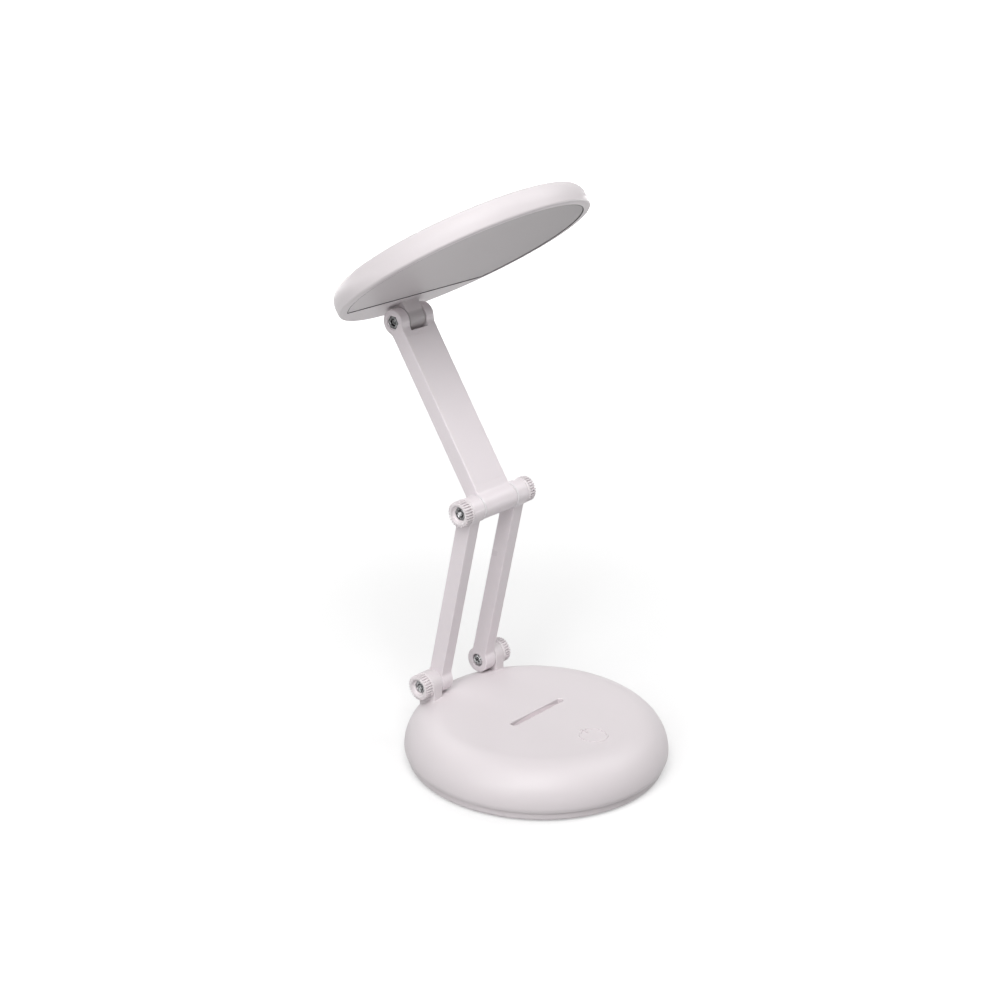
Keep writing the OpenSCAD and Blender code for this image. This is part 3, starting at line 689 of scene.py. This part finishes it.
for side in (-1, 1):
    place = across(base_hinge, side)
    carve(base_shell, bore(bore_r, lug_in - beyond, lug_out + beyond, place, bore_lip))
port = oblong(socket_w + port_play, socket_h + port_play, socket_h / 2 + 0.38 * mm, 8)
carve(base_shell, prism("port", port, -base_r - 2 * mm, -base_r + 8 * mm, facing_back))
mark_place = moved(0, -key_reach, base_top)
ring_band = arc((0, 0), key_ring_r, 90 + key_opening, 450 - key_opening, 60)
ring_band += arc((0, 0), key_ring_r - key_line_w, 450 - key_opening, 90 + key_opening, 60)
join(base_shell, slab("key_ring", ring_band, -rooting, key_height, key_edge, mark_place))
key_bar = oblong(key_line_w, key_bar_l, key_line_w / 2 - round_end)
key_bar_place = moved(0, key_ring_r - key_bar_drop - key_reach, base_top)
join(base_shell, slab("key_bar", key_bar, -rooting, key_height, key_edge, key_bar_place))
# Painted light: the walls down in the card slot are painted lighter than the shell, where they would lie in
# shade.
slot_painted_light = ((0, 0, base_top - slot_painted_light_depth), slot_painted_light_size)
base_plastic = moulded("base_plastic", shell_colour, painted_shading_spot=slot_painted_light, painted_shading_tone=slot_painted_light_tone)
dress(base_shell, "base", "shell_white", base_plastic, "base_housing")

# Base hinge: screws, washers and nuts
# A cross-headed screw goes from each arm's inner face through arm, washer and lug into a hexagon nut,
# which sits in the thumb knob. The washers are thin turned nylon.
arm_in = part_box("lower_arm_right")[0].x
arm_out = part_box("lower_arm_right")[1].x
screw_head_r = 2.8 * mm
screw_head_h = 1.8 * mm
screw_head_roll = 1.1 * mm
screw_head_crown = 0.9 * mm
thread_l = 4 * mm
cross_w = 0.85 * mm
cross_l = 3.4 * mm
cross_depth = 1.2 * mm
nut_af = 5.5 * mm
nut_h = 2.4 * mm
nut_countersink = 0.35 * mm
thread_pitch = 0.5 * mm
thread_depth = 0.16 * mm
nylon_colour = (0.80, 0.77, 0.79)
washer_gap = 0.05 * mm
screw_proud = 0.1 * mm
screw_sunk = 0.2 * mm


def hexagon(flats):
    """Radius of a hexagon of a given width across its flats, as a function of the turn."""
    return lambda turn: flats / 2 / math.cos((turn + math.pi / 6) % (math.pi / 3) - math.pi / 6)


def thread(low, high, radius):
    """Profile of a screw thread between two heights, crest and root in turn."""
    count = int((high - low) / thread_pitch)
    points = []
    for k in range(count):
        z = low + k * thread_pitch
        points += [(radius, z + 0.1 * thread_pitch), (radius - thread_depth, z + 0.5 * thread_pitch),
                   (radius, z + 0.9 * thread_pitch)]
    return points


def cross_tool(place, depth):
    """Tool for the cross in a screw's head, narrower at its foot."""
    tool = None
    for turn in (0, math.pi / 2):
        outline = oblong(cross_l, cross_w, 0.1 * mm, 2)
        foot = [(x * 0.55, y * 0.75) for x, y in outline]
        rings = [[(x, y, depth) for x, y in foot], [(x, y, -0.3 * mm) for x, y in outline]]
        wing = skin("wing", rings, place @ Matrix.Rotation(turn, 4, "Z"))
        if tool is None:
            tool = wing
        else:
            join(tool, wing)
    return tool


def screw(name, place, length, turn):
    """Pan-headed screw. Its head's top is at the frame's origin and its shank runs along Z."""
    turns = [math.radians(angle) for angle in range(20, 91, 14)]
    profile = [(centre_r, 0)]
    for t in turns:
        rolled = screw_head_r - screw_head_roll * (1 - math.sin(t))
        profile.append((rolled, screw_head_crown * (1 - math.cos(t))))
    profile += [(screw_head_r, screw_head_h), (screw_r, screw_head_h)]
    profile += thread(length - thread_l, length - 0.5 * mm, screw_r)
    profile += [(screw_r - 0.35 * mm, length - 0.05 * mm), (0.5 * mm, length)]
    body = lathe(name, profile, count=48)
    carve(body, cross_tool(Matrix.Rotation(turn, 4, "Z"), cross_depth))
    body.data.transform(place)
    return body


def nut(name, place, turn=0.0):
    """Hexagon nut whose faces are bevelled to a circle and whose bore is countersunk."""
    def corner(fall):
        flats = hexagon(nut_af)
        widest = nut_af / 2 / math.cos(math.pi / 6)
        return lambda t: min(flats(t + turn), widest - fall)
    mouth = screw_r + nut_countersink
    hole = screw_r + 0.04 * mm
    profile = [
        (mouth, 0), (corner(0.42 * mm), 0), (corner(0.2 * mm), 0.1 * mm), (corner(0), 0.26 * mm),
        (corner(0), nut_h - 0.26 * mm), (corner(0.2 * mm), nut_h - 0.1 * mm), (corner(0.42 * mm), nut_h),
        (mouth, nut_h), (hole, nut_h - 0.3 * mm), (hole, 0.3 * mm),
    ]
    return lathe(name, profile, place, 96, joined=True)


def washer(name, radius, low, high, place):
    """Flat ring round a screw, its outer edges rounded."""
    edge = min(0.3 * mm, (high - low) * 0.4)
    hole = screw_r + 0.06 * mm
    profile = rounded([(hole, low, 0), (radius, low, edge), (radius, high, edge), (hole, high, 0)], 4)
    return lathe(name, profile, place, 96, joined=True)


nylon = moulded("turned_nylon", nylon_colour, 0.35, 0.003 * mm)
# Lighter and darker copies of the one plated steel: painted light on the base hinge hardware and the middle
# bolt, painted shade on the head hinge, which lies under the head.
painted_light_steel = plated_steel("painted_light_steel", tone(steel_colour, 1.8), 0.24)
painted_shade_steel = plated_steel("painted_shade_steel", tone(steel_colour, 0.45), 0.4)
nut_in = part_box("base_nut_right")[0].x
screw_end = nut_in + nut_h + screw_proud
screw_start = arm_in + screw_sunk
washer_r = barrel_r - 0.35 * mm
for side, name in ((-1, "left"), (1, "right")):
    place = across(base_hinge, side)
    screw_place = place @ moved(0, 0, screw_start)
    piece = screw("base_hinge_screw_" + name, screw_place, screw_end - screw_start, turn=0.5)
    dress(piece, "lower_arms", "hinge_steel", painted_light_steel, "base_hinge_screws")
    piece = washer("base_washer_" + name, washer_r, arm_out + washer_gap, lug_in - washer_gap, place)
    dress(piece, "lower_arms", "washer_nylon", nylon, "base_hinge_washers")
    piece = nut("base_hinge_nut_" + name, place @ moved(0, 0, nut_in), turn=0.3)
    dress(piece, "knob_base_" + name, "hinge_steel", painted_light_steel, "base_nut_" + name)

# Lower arms
# Two straight mouldings, mirror images, each a bar that swells into a round hub at both ends. The
# screw's head is sunk in the inner face of the lower hub.
arm_colour = (0.830, 0.770, 0.797)
elbow = hinge["elbow_hinge"]
head_hinge = hinge["head_hinge"]
arm_l = (elbow - base_hinge).length
arm_half = 3.9 * mm
hub_fillet = 3.2 * mm
arm_edge = 0.6 * mm
hub_edge = 0.4 * mm
rim_run = 4 * mm
sink_r = 3.05 * mm
sink_depth = 2.0 * mm
sink_lip = 0.3 * mm
arm_plastic = moulded("arm_plastic", arm_colour, 0.30)


def bar_outline(length, half, hub, fillet, other_fillet=None):
    """A bar between two round hubs, run into each with hollow curves."""
    points = []
    for end, curve in ((0, fillet), (1, other_fillet or fillet)):
        reach = math.sqrt((hub + curve) ** 2 - (half + curve) ** 2)
        lift = math.degrees(math.atan2(half + curve, reach))
        near = arc((reach, half + curve), curve, 270, 180 + lift, 7)
        near += arc((0, 0), hub, lift, 360 - lift, 48)
        near += arc((reach, -half - curve), curve, 180 - lift, 90, 7)
        points += near if end == 0 else [(length - x, -y) for x, y in near]
    return tidy(points)


def rim_radii(outline, length, hub, bar_rim, hub_rim):
    """Rim radius for each point of a bar's outline: small round the hubs, larger along the bar."""
    radii = []
    for x, y in outline:
        past = min(math.hypot(x, y), math.hypot(length - x, y)) - hub
        share = max(0, min(1, past / rim_run))
        radii.append(hub_rim + (bar_rim - hub_rim) * share)
    return radii


arm_outline = bar_outline(arm_l, arm_half, barrel_r, hub_fillet)
arm_rims = rim_radii(arm_outline, arm_l, barrel_r, arm_edge, hub_edge)
arm_frame = beam_frame(base_hinge, elbow - base_hinge)
for side, name in ((-1, "left"), (1, "right")):
    ends = sorted((side * arm_in, side * arm_out))
    arm = slab("lower_arm_" + name + "_bar", arm_outline, *ends, arm_rims, arm_frame)
    inward = across(base_hinge, -side)
    carve(arm, bore(sink_r, -arm_in - sink_depth, -arm_in, inward, sink_lip))
    for centre in (base_hinge, elbow):
        inward = across(centre, -side)
        carve(arm, bore(bore_r, -arm_out - beyond, -arm_in + beyond, inward, bore_lip))
    dress(arm, "lower_arms", "arm_white", arm_plastic, "lower_arm_" + name)

# Upper arm
# One wide bar, as wide as the gap between the lower arms. It carries the head in a fork, and its
# front is closed by an inlaid strip with a fine seam round it.
upper_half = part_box("upper_arm")[1].x
upper_way = head_hinge - elbow
upper_l = upper_way.length
upper_edge = 0.6 * mm
ear_fillet = 4.5 * mm
ear_in = 5.4 * mm
fork_l = barrel_r + 0.5 * mm
cover_w = 17.6 * mm
cover_t = 1.2 * mm
cover_start = 8.9 * mm
cover_end = upper_l - fork_l - 2.5 * mm
seam = 0.02 * mm
cover_r = 0.3 * mm
trough_w = 12 * mm
trough_d = 3.2 * mm
trough_inset = 3 * mm
ear_sink = 0.3 * mm
fork_edge = 0.3 * mm
seat_edge = 0.01 * mm
strip_edge = 0.02 * mm
trough_corner = 1 * mm
upper_frame = beam_frame(elbow, upper_way)
tip_right = across(head_hinge, 1)
tip_left = across(head_hinge, -1)


def ease(piece, width, angle=40):
    """Rounds the edges that are sharper than the angle."""
    bevel = piece.modifiers.new("ease", "BEVEL")
    bevel.width = width
    bevel.segments = 3
    bevel.limit_method = "ANGLE"
    bevel.angle_limit = math.radians(angle)
    settle(piece)


def on_front(name, start, end, width, low, high, rim, radius):
    """Rounded strip in the upper arm's front face, between two places along the arm."""
    place = upper_frame @ moved((start + end) / 2, 0, 0) @ Matrix.Rotation(-math.pi / 2, 4, "X")
    return slab(name, oblong(end - start, width, radius), low, high, rim, place)


upper_outline = bar_outline(upper_l, arm_half, barrel_r, hub_fillet, ear_fillet)
upper_rims = rim_radii(upper_outline, upper_l, barrel_r, upper_edge, upper_edge)
upper_bar = slab("upper_arm_bar", upper_outline, -upper_half, upper_half, upper_rims, upper_frame, 5)
fork_floor = upper_l - fork_l
fork_end = upper_l + barrel_r + beyond
fork_half = barrel_r + beyond
fork_gap = [(fork_floor, -fork_half), (fork_end, -fork_half), (fork_end, fork_half), (fork_floor, fork_half)]
carve(upper_bar, prism("fork_pocket", fork_gap, -ear_in, ear_in, upper_frame))
ease(upper_bar, fork_edge)
carve(upper_bar, bore(sink_r, upper_half - sink_depth, upper_half, tip_right, sink_lip))
carve(upper_bar, bore(sink_r + 0.4 * mm, upper_half - ear_sink, upper_half, tip_left, 0.1 * mm))
nut_pocket = hexagon(nut_af + 0.1 * mm)
nut_floor = upper_half - ear_sink - nut_h
carve(upper_bar, lathe("nut_pocket", [(nut_pocket, nut_floor), (nut_pocket, upper_half)], tip_left))
for place in (tip_right, across(elbow, 1)):
    carve(upper_bar, bore(bore_r, -upper_half - beyond, upper_half + beyond, place, bore_lip))
carve(upper_bar, on_front("cover_seat", cover_start - seam, cover_end + seam, cover_w + 2 * seam,
                          arm_half - cover_t, arm_half + beyond, seat_edge, cover_r))
carve(upper_bar, on_front("trough", cover_start + trough_inset, cover_end - trough_inset, trough_w,
                          arm_half - cover_t - trough_d, arm_half, seat_edge, trough_corner))
dress(upper_bar, "upper_arm", "arm_white", arm_plastic, "upper_arm")
cover_strip = on_front("upper_arm_strip", cover_start, cover_end, cover_w,
                       arm_half - cover_t + 0.02 * mm, arm_half, strip_edge, cover_r)
dress(cover_strip, "upper_arm", "arm_white", arm_plastic, "upper_arm_cover")

# Middle hinge
# One long bolt runs through all three arms. Its hexagon head sits in the right knob and its nut in
# the left one. Two nylon washers stand a little proud of the hubs beside them.
bolt_low, bolt_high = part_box("mid_hinge_bolt")
washer_low, washer_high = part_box("mid_hinge_washers")
mid_washer_r = (washer_high.y - washer_low.y) / 2
for side, name in ((-1, "left"), (1, "right")):
    place = across(elbow, side)
    piece = washer("mid_washer_" + name, mid_washer_r, upper_half + washer_gap, arm_in - washer_gap, place)
    dress(piece, "upper_arm", "washer_nylon", nylon, "mid_hinge_washers")
mid_nut_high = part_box("mid_nut")[1].x
piece = nut("mid_hinge_nut", across(elbow, -1) @ moved(0, 0, -mid_nut_high), turn=0.8)
dress(piece, "knob_mid_left", "hinge_steel", steel, "mid_nut")
bolt_head = nut_h
bolt_profile = [(0.4 * mm, 0), (nut_af / 2 - 0.3 * mm, 0), (hexagon(nut_af - 0.3 * mm), 0.15 * mm)]
bolt_profile += [(hexagon(nut_af), 0.5 * mm), (hexagon(nut_af), bolt_head), (screw_r, bolt_head)]
bolt_reach = bolt_high.x - bolt_low.x
bolt_profile += thread(bolt_reach - 7 * mm, bolt_reach - 0.5 * mm, screw_r)
bolt_profile += [(screw_r - 0.35 * mm, bolt_reach - 0.05 * mm), (0.5 * mm, bolt_reach)]
bolt_place = Matrix.Translation((bolt_high.x, elbow.y, elbow.z)) @ Matrix.Rotation(-math.pi / 2, 4, "Y")
bolt = lathe("mid_bolt", bolt_profile, bolt_place, 96)
dress(bolt, "knob_mid_right", "hinge_steel", painted_light_steel, "mid_hinge_bolt")

# Thumb knobs
# Four moulded knobs with a smooth collar, grip ridges and a deep cup. At the bottom of the cup a
# hexagon pocket holds the nut or the bolt's head.
knob_colour = (0.830, 0.780, 0.797)
knob_low, knob_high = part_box("base_knob_right")
knob_r = (knob_high.z - knob_low.z) / 2
knob_l = knob_high.x - knob_low.x
ridges = 28
ridge_h = 1.0 * mm
ridge_share = 0.5
ridge_steepness = 1.6
collar_l = 1.1 * mm
cup_r = 3.95 * mm
pocket_floor = 0.9 * mm
knob_plastic = moulded("knob_plastic", knob_colour, 0.38)


def ridged(radius, height):
    """Radius of the grip: square-shouldered ridges with rounded tops on a round core."""
    def at(turn):
        wave = ridge_share + ridge_steepness * math.cos(turn * ridges)
        share = max(0, min(1, wave))
        return radius + height * share * share * (3 - 2 * share)
    return at


def thumb_knob(name, place):
    """Knob turned about its screw: collar, ridged grip, cup and hexagon pocket."""
    core = knob_r - 0.1 * mm - ridge_h
    cup_floor = pocket_floor + nut_h
    pocket = hexagon(nut_af + 0.15 * mm)
    hole = screw_r + 0.1 * mm
    collar = [
        (hole, 0), (knob_r - 0.3 * mm, 0), (knob_r - 0.09 * mm, 0.09 * mm), (knob_r, 0.3 * mm),
        (knob_r, collar_l - 0.15 * mm), (knob_r - 0.12 * mm, collar_l),
    ]
    grip = [
        (ridged(core, ridge_h * 0.9), collar_l), (ridged(core, ridge_h), collar_l + 0.2 * mm),
        (ridged(core, ridge_h), knob_l - 0.5 * mm), (ridged(core, ridge_h * 0.85), knob_l - 0.25 * mm),
        (ridged(core - 0.05 * mm, ridge_h * 0.5), knob_l - 0.08 * mm), (core - 0.15 * mm, knob_l),
    ]
    inside = [
        (cup_r + 0.3 * mm, knob_l), (cup_r + 0.08 * mm, knob_l - 0.08 * mm), (cup_r, knob_l - 0.3 * mm),
        (cup_r - 0.05 * mm, cup_floor + 0.3 * mm), (cup_r - 0.3 * mm, cup_floor),
        (pocket, cup_floor), (pocket, pocket_floor), (hole, pocket_floor),
    ]
    return lathe(name, collar + grip + inside, place, ridges * 10, joined=True)


for centre, joint in ((base_hinge, "base"), (elbow, "mid")):
    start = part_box(joint + "_knob_right")[0].x
    for side, name in ((-1, "left"), (1, "right")):
        knob = thumb_knob(joint + "_thumb_knob_" + name, across(centre, side) @ moved(0, 0, start))
        dress(knob, "knob_" + joint + "_" + name, "knob_white", knob_plastic, joint + "_knob_" + name)

# Head hinge
# A cross-headed screw through the fork and the head's knuckle, with its nut sunk in the left ear.
head_screw_sink = 0.2 * mm
head_screw_short = 0.8 * mm
head_screw_place = tip_right @ moved(0, 0, upper_half - head_screw_sink) @ Matrix.Rotation(math.pi, 4, "X")
# The head hinge's screw and nut are in the darker copy of the steel, as painted shade under the head.
piece = screw("head_screw", head_screw_place, 2 * upper_half - ear_sink - head_screw_short, turn=0.4)
dress(piece, "upper_arm", "hinge_steel", painted_shade_steel, "head_hinge_screw")
piece = nut("head_nut", tip_left @ moved(0, 0, nut_floor), turn=0.1)
dress(piece, "upper_arm", "hinge_steel", painted_shade_steel, "head_hinge_nut")

# Light head
# A flat round shell with a rolled shoulder. Its knuckle hangs below the rim and fills the fork, and
# a ledge inside the rim takes the diffuser.
head_tilt = math.radians(145.3)
head_r = 59.4 * mm
head_t = 11.4 * mm
head_drop = 6.8 * mm
head_reach = head_r - 13.7 * mm
head_wall = 1.8 * mm
head_edge = 1.3 * mm
head_flat_r = head_r - 7 * mm
head_widest = 3.3 * mm
head_curve = 2.4
head_top_edge_w = 1.5 * mm
knuckle_edge = 0.5 * mm
seat_lip = 0.1 * mm
knuckle_half = 4.85 * mm
knuckle_root = 1.2 * mm
# How much darker the knuckle is painted, as painted shade under the head.
knuckle_painted_shade_tone = 0.66
knuckle_r = barrel_r - 0.2 * mm
rim_w = 3.8 * mm
diffuser_cut = 35.1 * mm
diffuser_t = 1.6 * mm
diffuser_step = 0.3 * mm
ledge_w = 1.2 * mm
ledge_t = 1.0 * mm
head_colour = (0.735, 0.688, 0.705)
head_frame = (
    Matrix.Translation(head_hinge) @ Matrix.Rotation(head_tilt, 4, "X")
    @ Matrix.Translation((0, head_reach, -head_drop)) @ Matrix.Rotation(math.pi, 4, "X")
)


def cut_round(radius, cut, corner=0.8 * mm):
    """Round outline with one straight side at y = cut, its two corners rounded."""
    half = math.sqrt(radius ** 2 - cut ** 2)
    side = math.degrees(math.atan2(cut, half))
    points = arc((0, 0), radius, 180 - side, 360 + side, 160)
    return rounded([(points[0][0], points[0][1], corner)] + [(x, y, 0) for x, y in points[1:-1]]
                   + [(points[-1][0], points[-1][1], corner)])


head_outer = arc((head_r - 0.2 * mm - head_edge, head_edge), head_edge, 270, 360, 8)
head_outer += shoulder((head_r, head_widest), (head_flat_r, head_t), head_curve, 24)
head_outer += [(head_flat_r - head_top_edge_w, head_t)]
head_shell = lathe("head_shell", head_outer, head_frame, 216)
knuckle_place = head_frame @ moved(0, head_reach, -head_drop) @ across_x
knuckle_outline = tidy(arc((0, 0), knuckle_r, 180, 360, 40) + [
    (knuckle_r, head_drop + knuckle_root), (-knuckle_r, head_drop + knuckle_root)])
join(head_shell, slab("knuckle", knuckle_outline, -knuckle_half, knuckle_half, knuckle_edge, knuckle_place))
ledge_z = diffuser_step + diffuser_t
hollow_z = ledge_z + ledge_t
head_hollow = [(head_r - head_wall, hollow_z)]
head_roof = (head_flat_r, head_t - head_wall)
head_hollow += shoulder((head_r - head_wall, head_widest), head_roof, head_curve, 24)
carve(head_shell, lathe("head_hollow", head_hollow, head_frame, 216))
opening = cut_round(head_r - rim_w - ledge_w, diffuser_cut - ledge_w)
carve(head_shell, prism("head_opening", opening, -beyond, hollow_z + 0.5 * mm, head_frame))
seat = cut_round(head_r - rim_w, diffuser_cut)
from_below = head_frame @ Matrix.Rotation(math.pi, 4, "Y")
carve(head_shell, well("diffuser_seat", seat, -ledge_z, 0, seat_lip, from_below))
carve(head_shell, bore(bore_r, -knuckle_half - beyond, knuckle_half + beyond, tip_right, bore_lip))
# Painted shade: the knuckle round the head hinge is painted darker, as the shade under the head.
knuckle_shade_r = knuckle_r + 0.3 * mm
knuckle_painted_shade = (head_hinge, (0, knuckle_shade_r, knuckle_shade_r))
head_plastic = moulded("head_plastic", head_colour, painted_shading_spot=knuckle_painted_shade, painted_shading_tone=knuckle_painted_shade_tone)
dress(head_shell, "head", "shell_white", head_plastic, "head_housing")

# Diffuser
# A frosted sheet with one straight side, sunk a little into the rim. It is unlit, and painted lighter towards
# one end and darker towards the other, as painted light and shade. A thin dark rubber ring holds it all
# round: a dark thing put in the seam as painted shade.
diffuser_colour = (0.508, 0.479, 0.489)
cloud_colour = (0.30, 0.28, 0.29)
# Painted light and shade on the diffuser: the way across it in which it is painted lighter, and its darkest
# and lightest tones.
painted_light_way = (-0.655, 0.756, 0)
painted_shade_end = 0.72
painted_light_end = 1.48
# The dark ring in the seam, which is painted shade: its width, its top and its play.
seam_shade_t = 0.3 * mm
seam_shade_top = 0.05 * mm
seam_shade_play = 0.05 * mm
sheet_edge = 0.1 * mm


def frosted():
    """Frosted acrylic: a satin grain, faint clouding, and painted light and shade, lighter along one way
    across the sheet.
    """
    finish = Finish("frosted_acrylic")
    cloud = finish.noise(16, 2)
    middle = finish.add("VectorMath", {"operation": "SUBTRACT"}, {0: finish.place, 1: head_frame.translation})
    sockets = {0: middle, 1: painted_light_way}
    along = finish.add("VectorMath", {"operation": "DOT_PRODUCT"}, sockets).out("Value")
    # Painted light and shade: the sheet's tone runs from dark at one end to light at the other.
    fall = 0.5 + along * (0.5 / head_r)
    grain = finish.noise(5200, 1)
    colour = finish.mix(fall, tone(diffuser_colour, painted_shade_end), tone(diffuser_colour, painted_light_end))
    colour = finish.mix(cloud * 0.05, colour, cloud_colour)
    return finish.surface(colour, 0.46 + 0.05 * cloud, grain, 0.004 * mm)


sheet = offset(seat, [-seam_shade_t - seam_shade_play] * len(seat))
sheet_back = ledge_z - 0.02 * mm
diffuser_plate = slab("diffuser_plate", sheet, diffuser_step, sheet_back, sheet_edge, head_frame)
dress(diffuser_plate, "head", "diffuser_grey", frosted(), "diffuser")
# Painted shade: a thin ring of dark rubber in the gap round the sheet, which shows as the seam's dark line.
seam_shade_out, seam_shade_in = (offset(seat, [-inset] * len(seat)) for inset in (0.02 * mm, seam_shade_t))
seam_shade_section = [(seam_shade_out, sheet_back), (seam_shade_out, seam_shade_top), (seam_shade_in, seam_shade_top),
                  (seam_shade_in, sheet_back)]
seam_shade_rings = [[(x, y, z) for x, y in outline] for outline, z in seam_shade_section]
seam_shade_ring = skin("diffuser_seam_shade", seam_shade_rings, head_frame, True)
dress(seam_shade_ring, "head", "pad_rubber", rubber)

# Light board
# A white board screwed under the head's roof, with two rings of light chips and a reflector film.
white_mask_colour = (0.82, 0.82, 0.79)
phosphor_colour = (0.86, 0.62, 0.10)
film_colour = (0.88, 0.88, 0.88)


def phosphor():
    """Phosphor under clear silicone in a white frame."""
    finish = Finish("phosphor")
    blush = finish.noise(1200, 3)
    colour = finish.mix(blush, phosphor_colour, tone(phosphor_colour, 0.8))
    return finish.surface(colour, 0.2 + 0.15 * blush, blush, 0.02 * mm)


def reflector_film():
    """Soft white film with a fleecy sheen."""
    finish = Finish("reflector_film")
    fleece = finish.noise(2600, 4)
    colour = finish.mix(fleece, tone(film_colour, 0.95), film_colour)
    return finish.surface(colour, 0.6 + 0.1 * fleece, fleece, 0.01 * mm)


keep("led_board", solder_mask("solder_mask_white", white_mask_colour))
keep("led_chips", phosphor())
keep("reflector_sheet", reflector_film())
keep("led_board_screws", steel)

# Studio
# A white floor and five soft panels: two high at the front, one at each side and a weak one behind.
# The floor glows a little for the camera, more so further out, and still keeps the lamp's soft shadow.
floor_size = 6.0
floor_grey = 0.60
floor_glow = 0.41
floor_rise = 1.2
world_light = 0.10
panel_size = 0.9
panel_away = 1.5


def looked_at(finish):
    """1 for what the camera sees, straight, in gloss or through glass, and 0 for what only gives light."""
    path = finish.add("LightPath")
    return path.out("Is Camera Ray") + path.out("Is Glossy Ray") + path.out("Is Transmission Ray")


def white_floor():
    """White paper that takes light and shadow, with a glow that only the camera and mirrors see."""
    finish = Finish("white_floor")
    paper = tone((1, 1, 1), floor_grey)
    shade = finish.mix(finish.noise(3, 1), tone(paper, 0.995), tone(paper, 1.005))
    lit = finish.add("BsdfDiffuse", {}, {"Color": shade, "Roughness": 0.5})
    sockets = {0: finish.place, 1: finish.place}
    away = finish.add("VectorMath", {"operation": "DOT_PRODUCT"}, sockets).out("Value")
    glow = finish.add("Emission", {}, {"Color": (1, 1, 1, 1), "Strength": floor_glow + floor_rise * away})
    seen = finish.add("AddShader", {}, {0: lit, 1: glow})
    look = finish.add("MixShader", {}, {0: looked_at(finish), 1: lit, 2: seen})
    finish.add("OutputMaterial", {}, {"Surface": look})
    return finish.material


half = floor_size / 2
floor_mesh = bpy.data.meshes.new("floor")
floor_corners = [(-half, -half, 0), (half, -half, 0), (half, half, 0), (-half, half, 0)]
floor_mesh.from_pydata(floor_corners, [], [(0, 1, 2, 3)])
floor = bpy.data.objects.new("floor", floor_mesh)
bpy.context.scene.collection.objects.link(floor)
floor.data.materials.append(white_floor())


def panel(name, bearing, lift, power):
    """Square soft panel, at a bearing and a height in degrees, that looks at the middle of the lamp."""
    lamp = bpy.data.lights.new(name, "AREA")
    lamp.shape = "SQUARE"
    lamp.size = panel_size
    lamp.energy = power
    turn, rise = math.radians(bearing), math.radians(lift)
    way = Vector((math.cos(turn) * math.cos(rise), math.sin(turn) * math.cos(rise), math.sin(rise)))
    thing = bpy.data.objects.new(name, lamp)
    bpy.context.scene.collection.objects.link(thing)
    thing.location = (cad_box[0] + cad_box[1]) / 2 + panel_away * way
    thing.rotation_euler = (-way).to_track_quat("-Z", "Y").to_euler()


panel("key_panel", -140.5, 48, 10.6)
panel("crown_panel", -140.5, 70, 5.0)
panel("left_panel", -170.5, 27, 7.0)
panel("right_panel", -32.5, 48, 6.1)
panel("back_panel", 75.5, 48, 3.5)


def white_air():
    """Weak light from all round, which shows as plain white behind the lamp and in its gloss."""
    finish = Finish("studio_air", bpy.data.worlds.new("studio_air"))
    weak = finish.add("Background", {}, {"Color": (1, 1, 1, 1), "Strength": world_light})
    plain = finish.add("Background", {}, {"Color": (1, 1, 1, 1), "Strength": 1.0})
    look = finish.add("MixShader", {}, {0: looked_at(finish), 1: weak, 2: plain})
    finish.add("OutputWorld", {}, {"Surface": look})
    return finish.material


bpy.context.scene.world = white_air()
bpy.context.scene.view_settings.view_transform = "Standard"
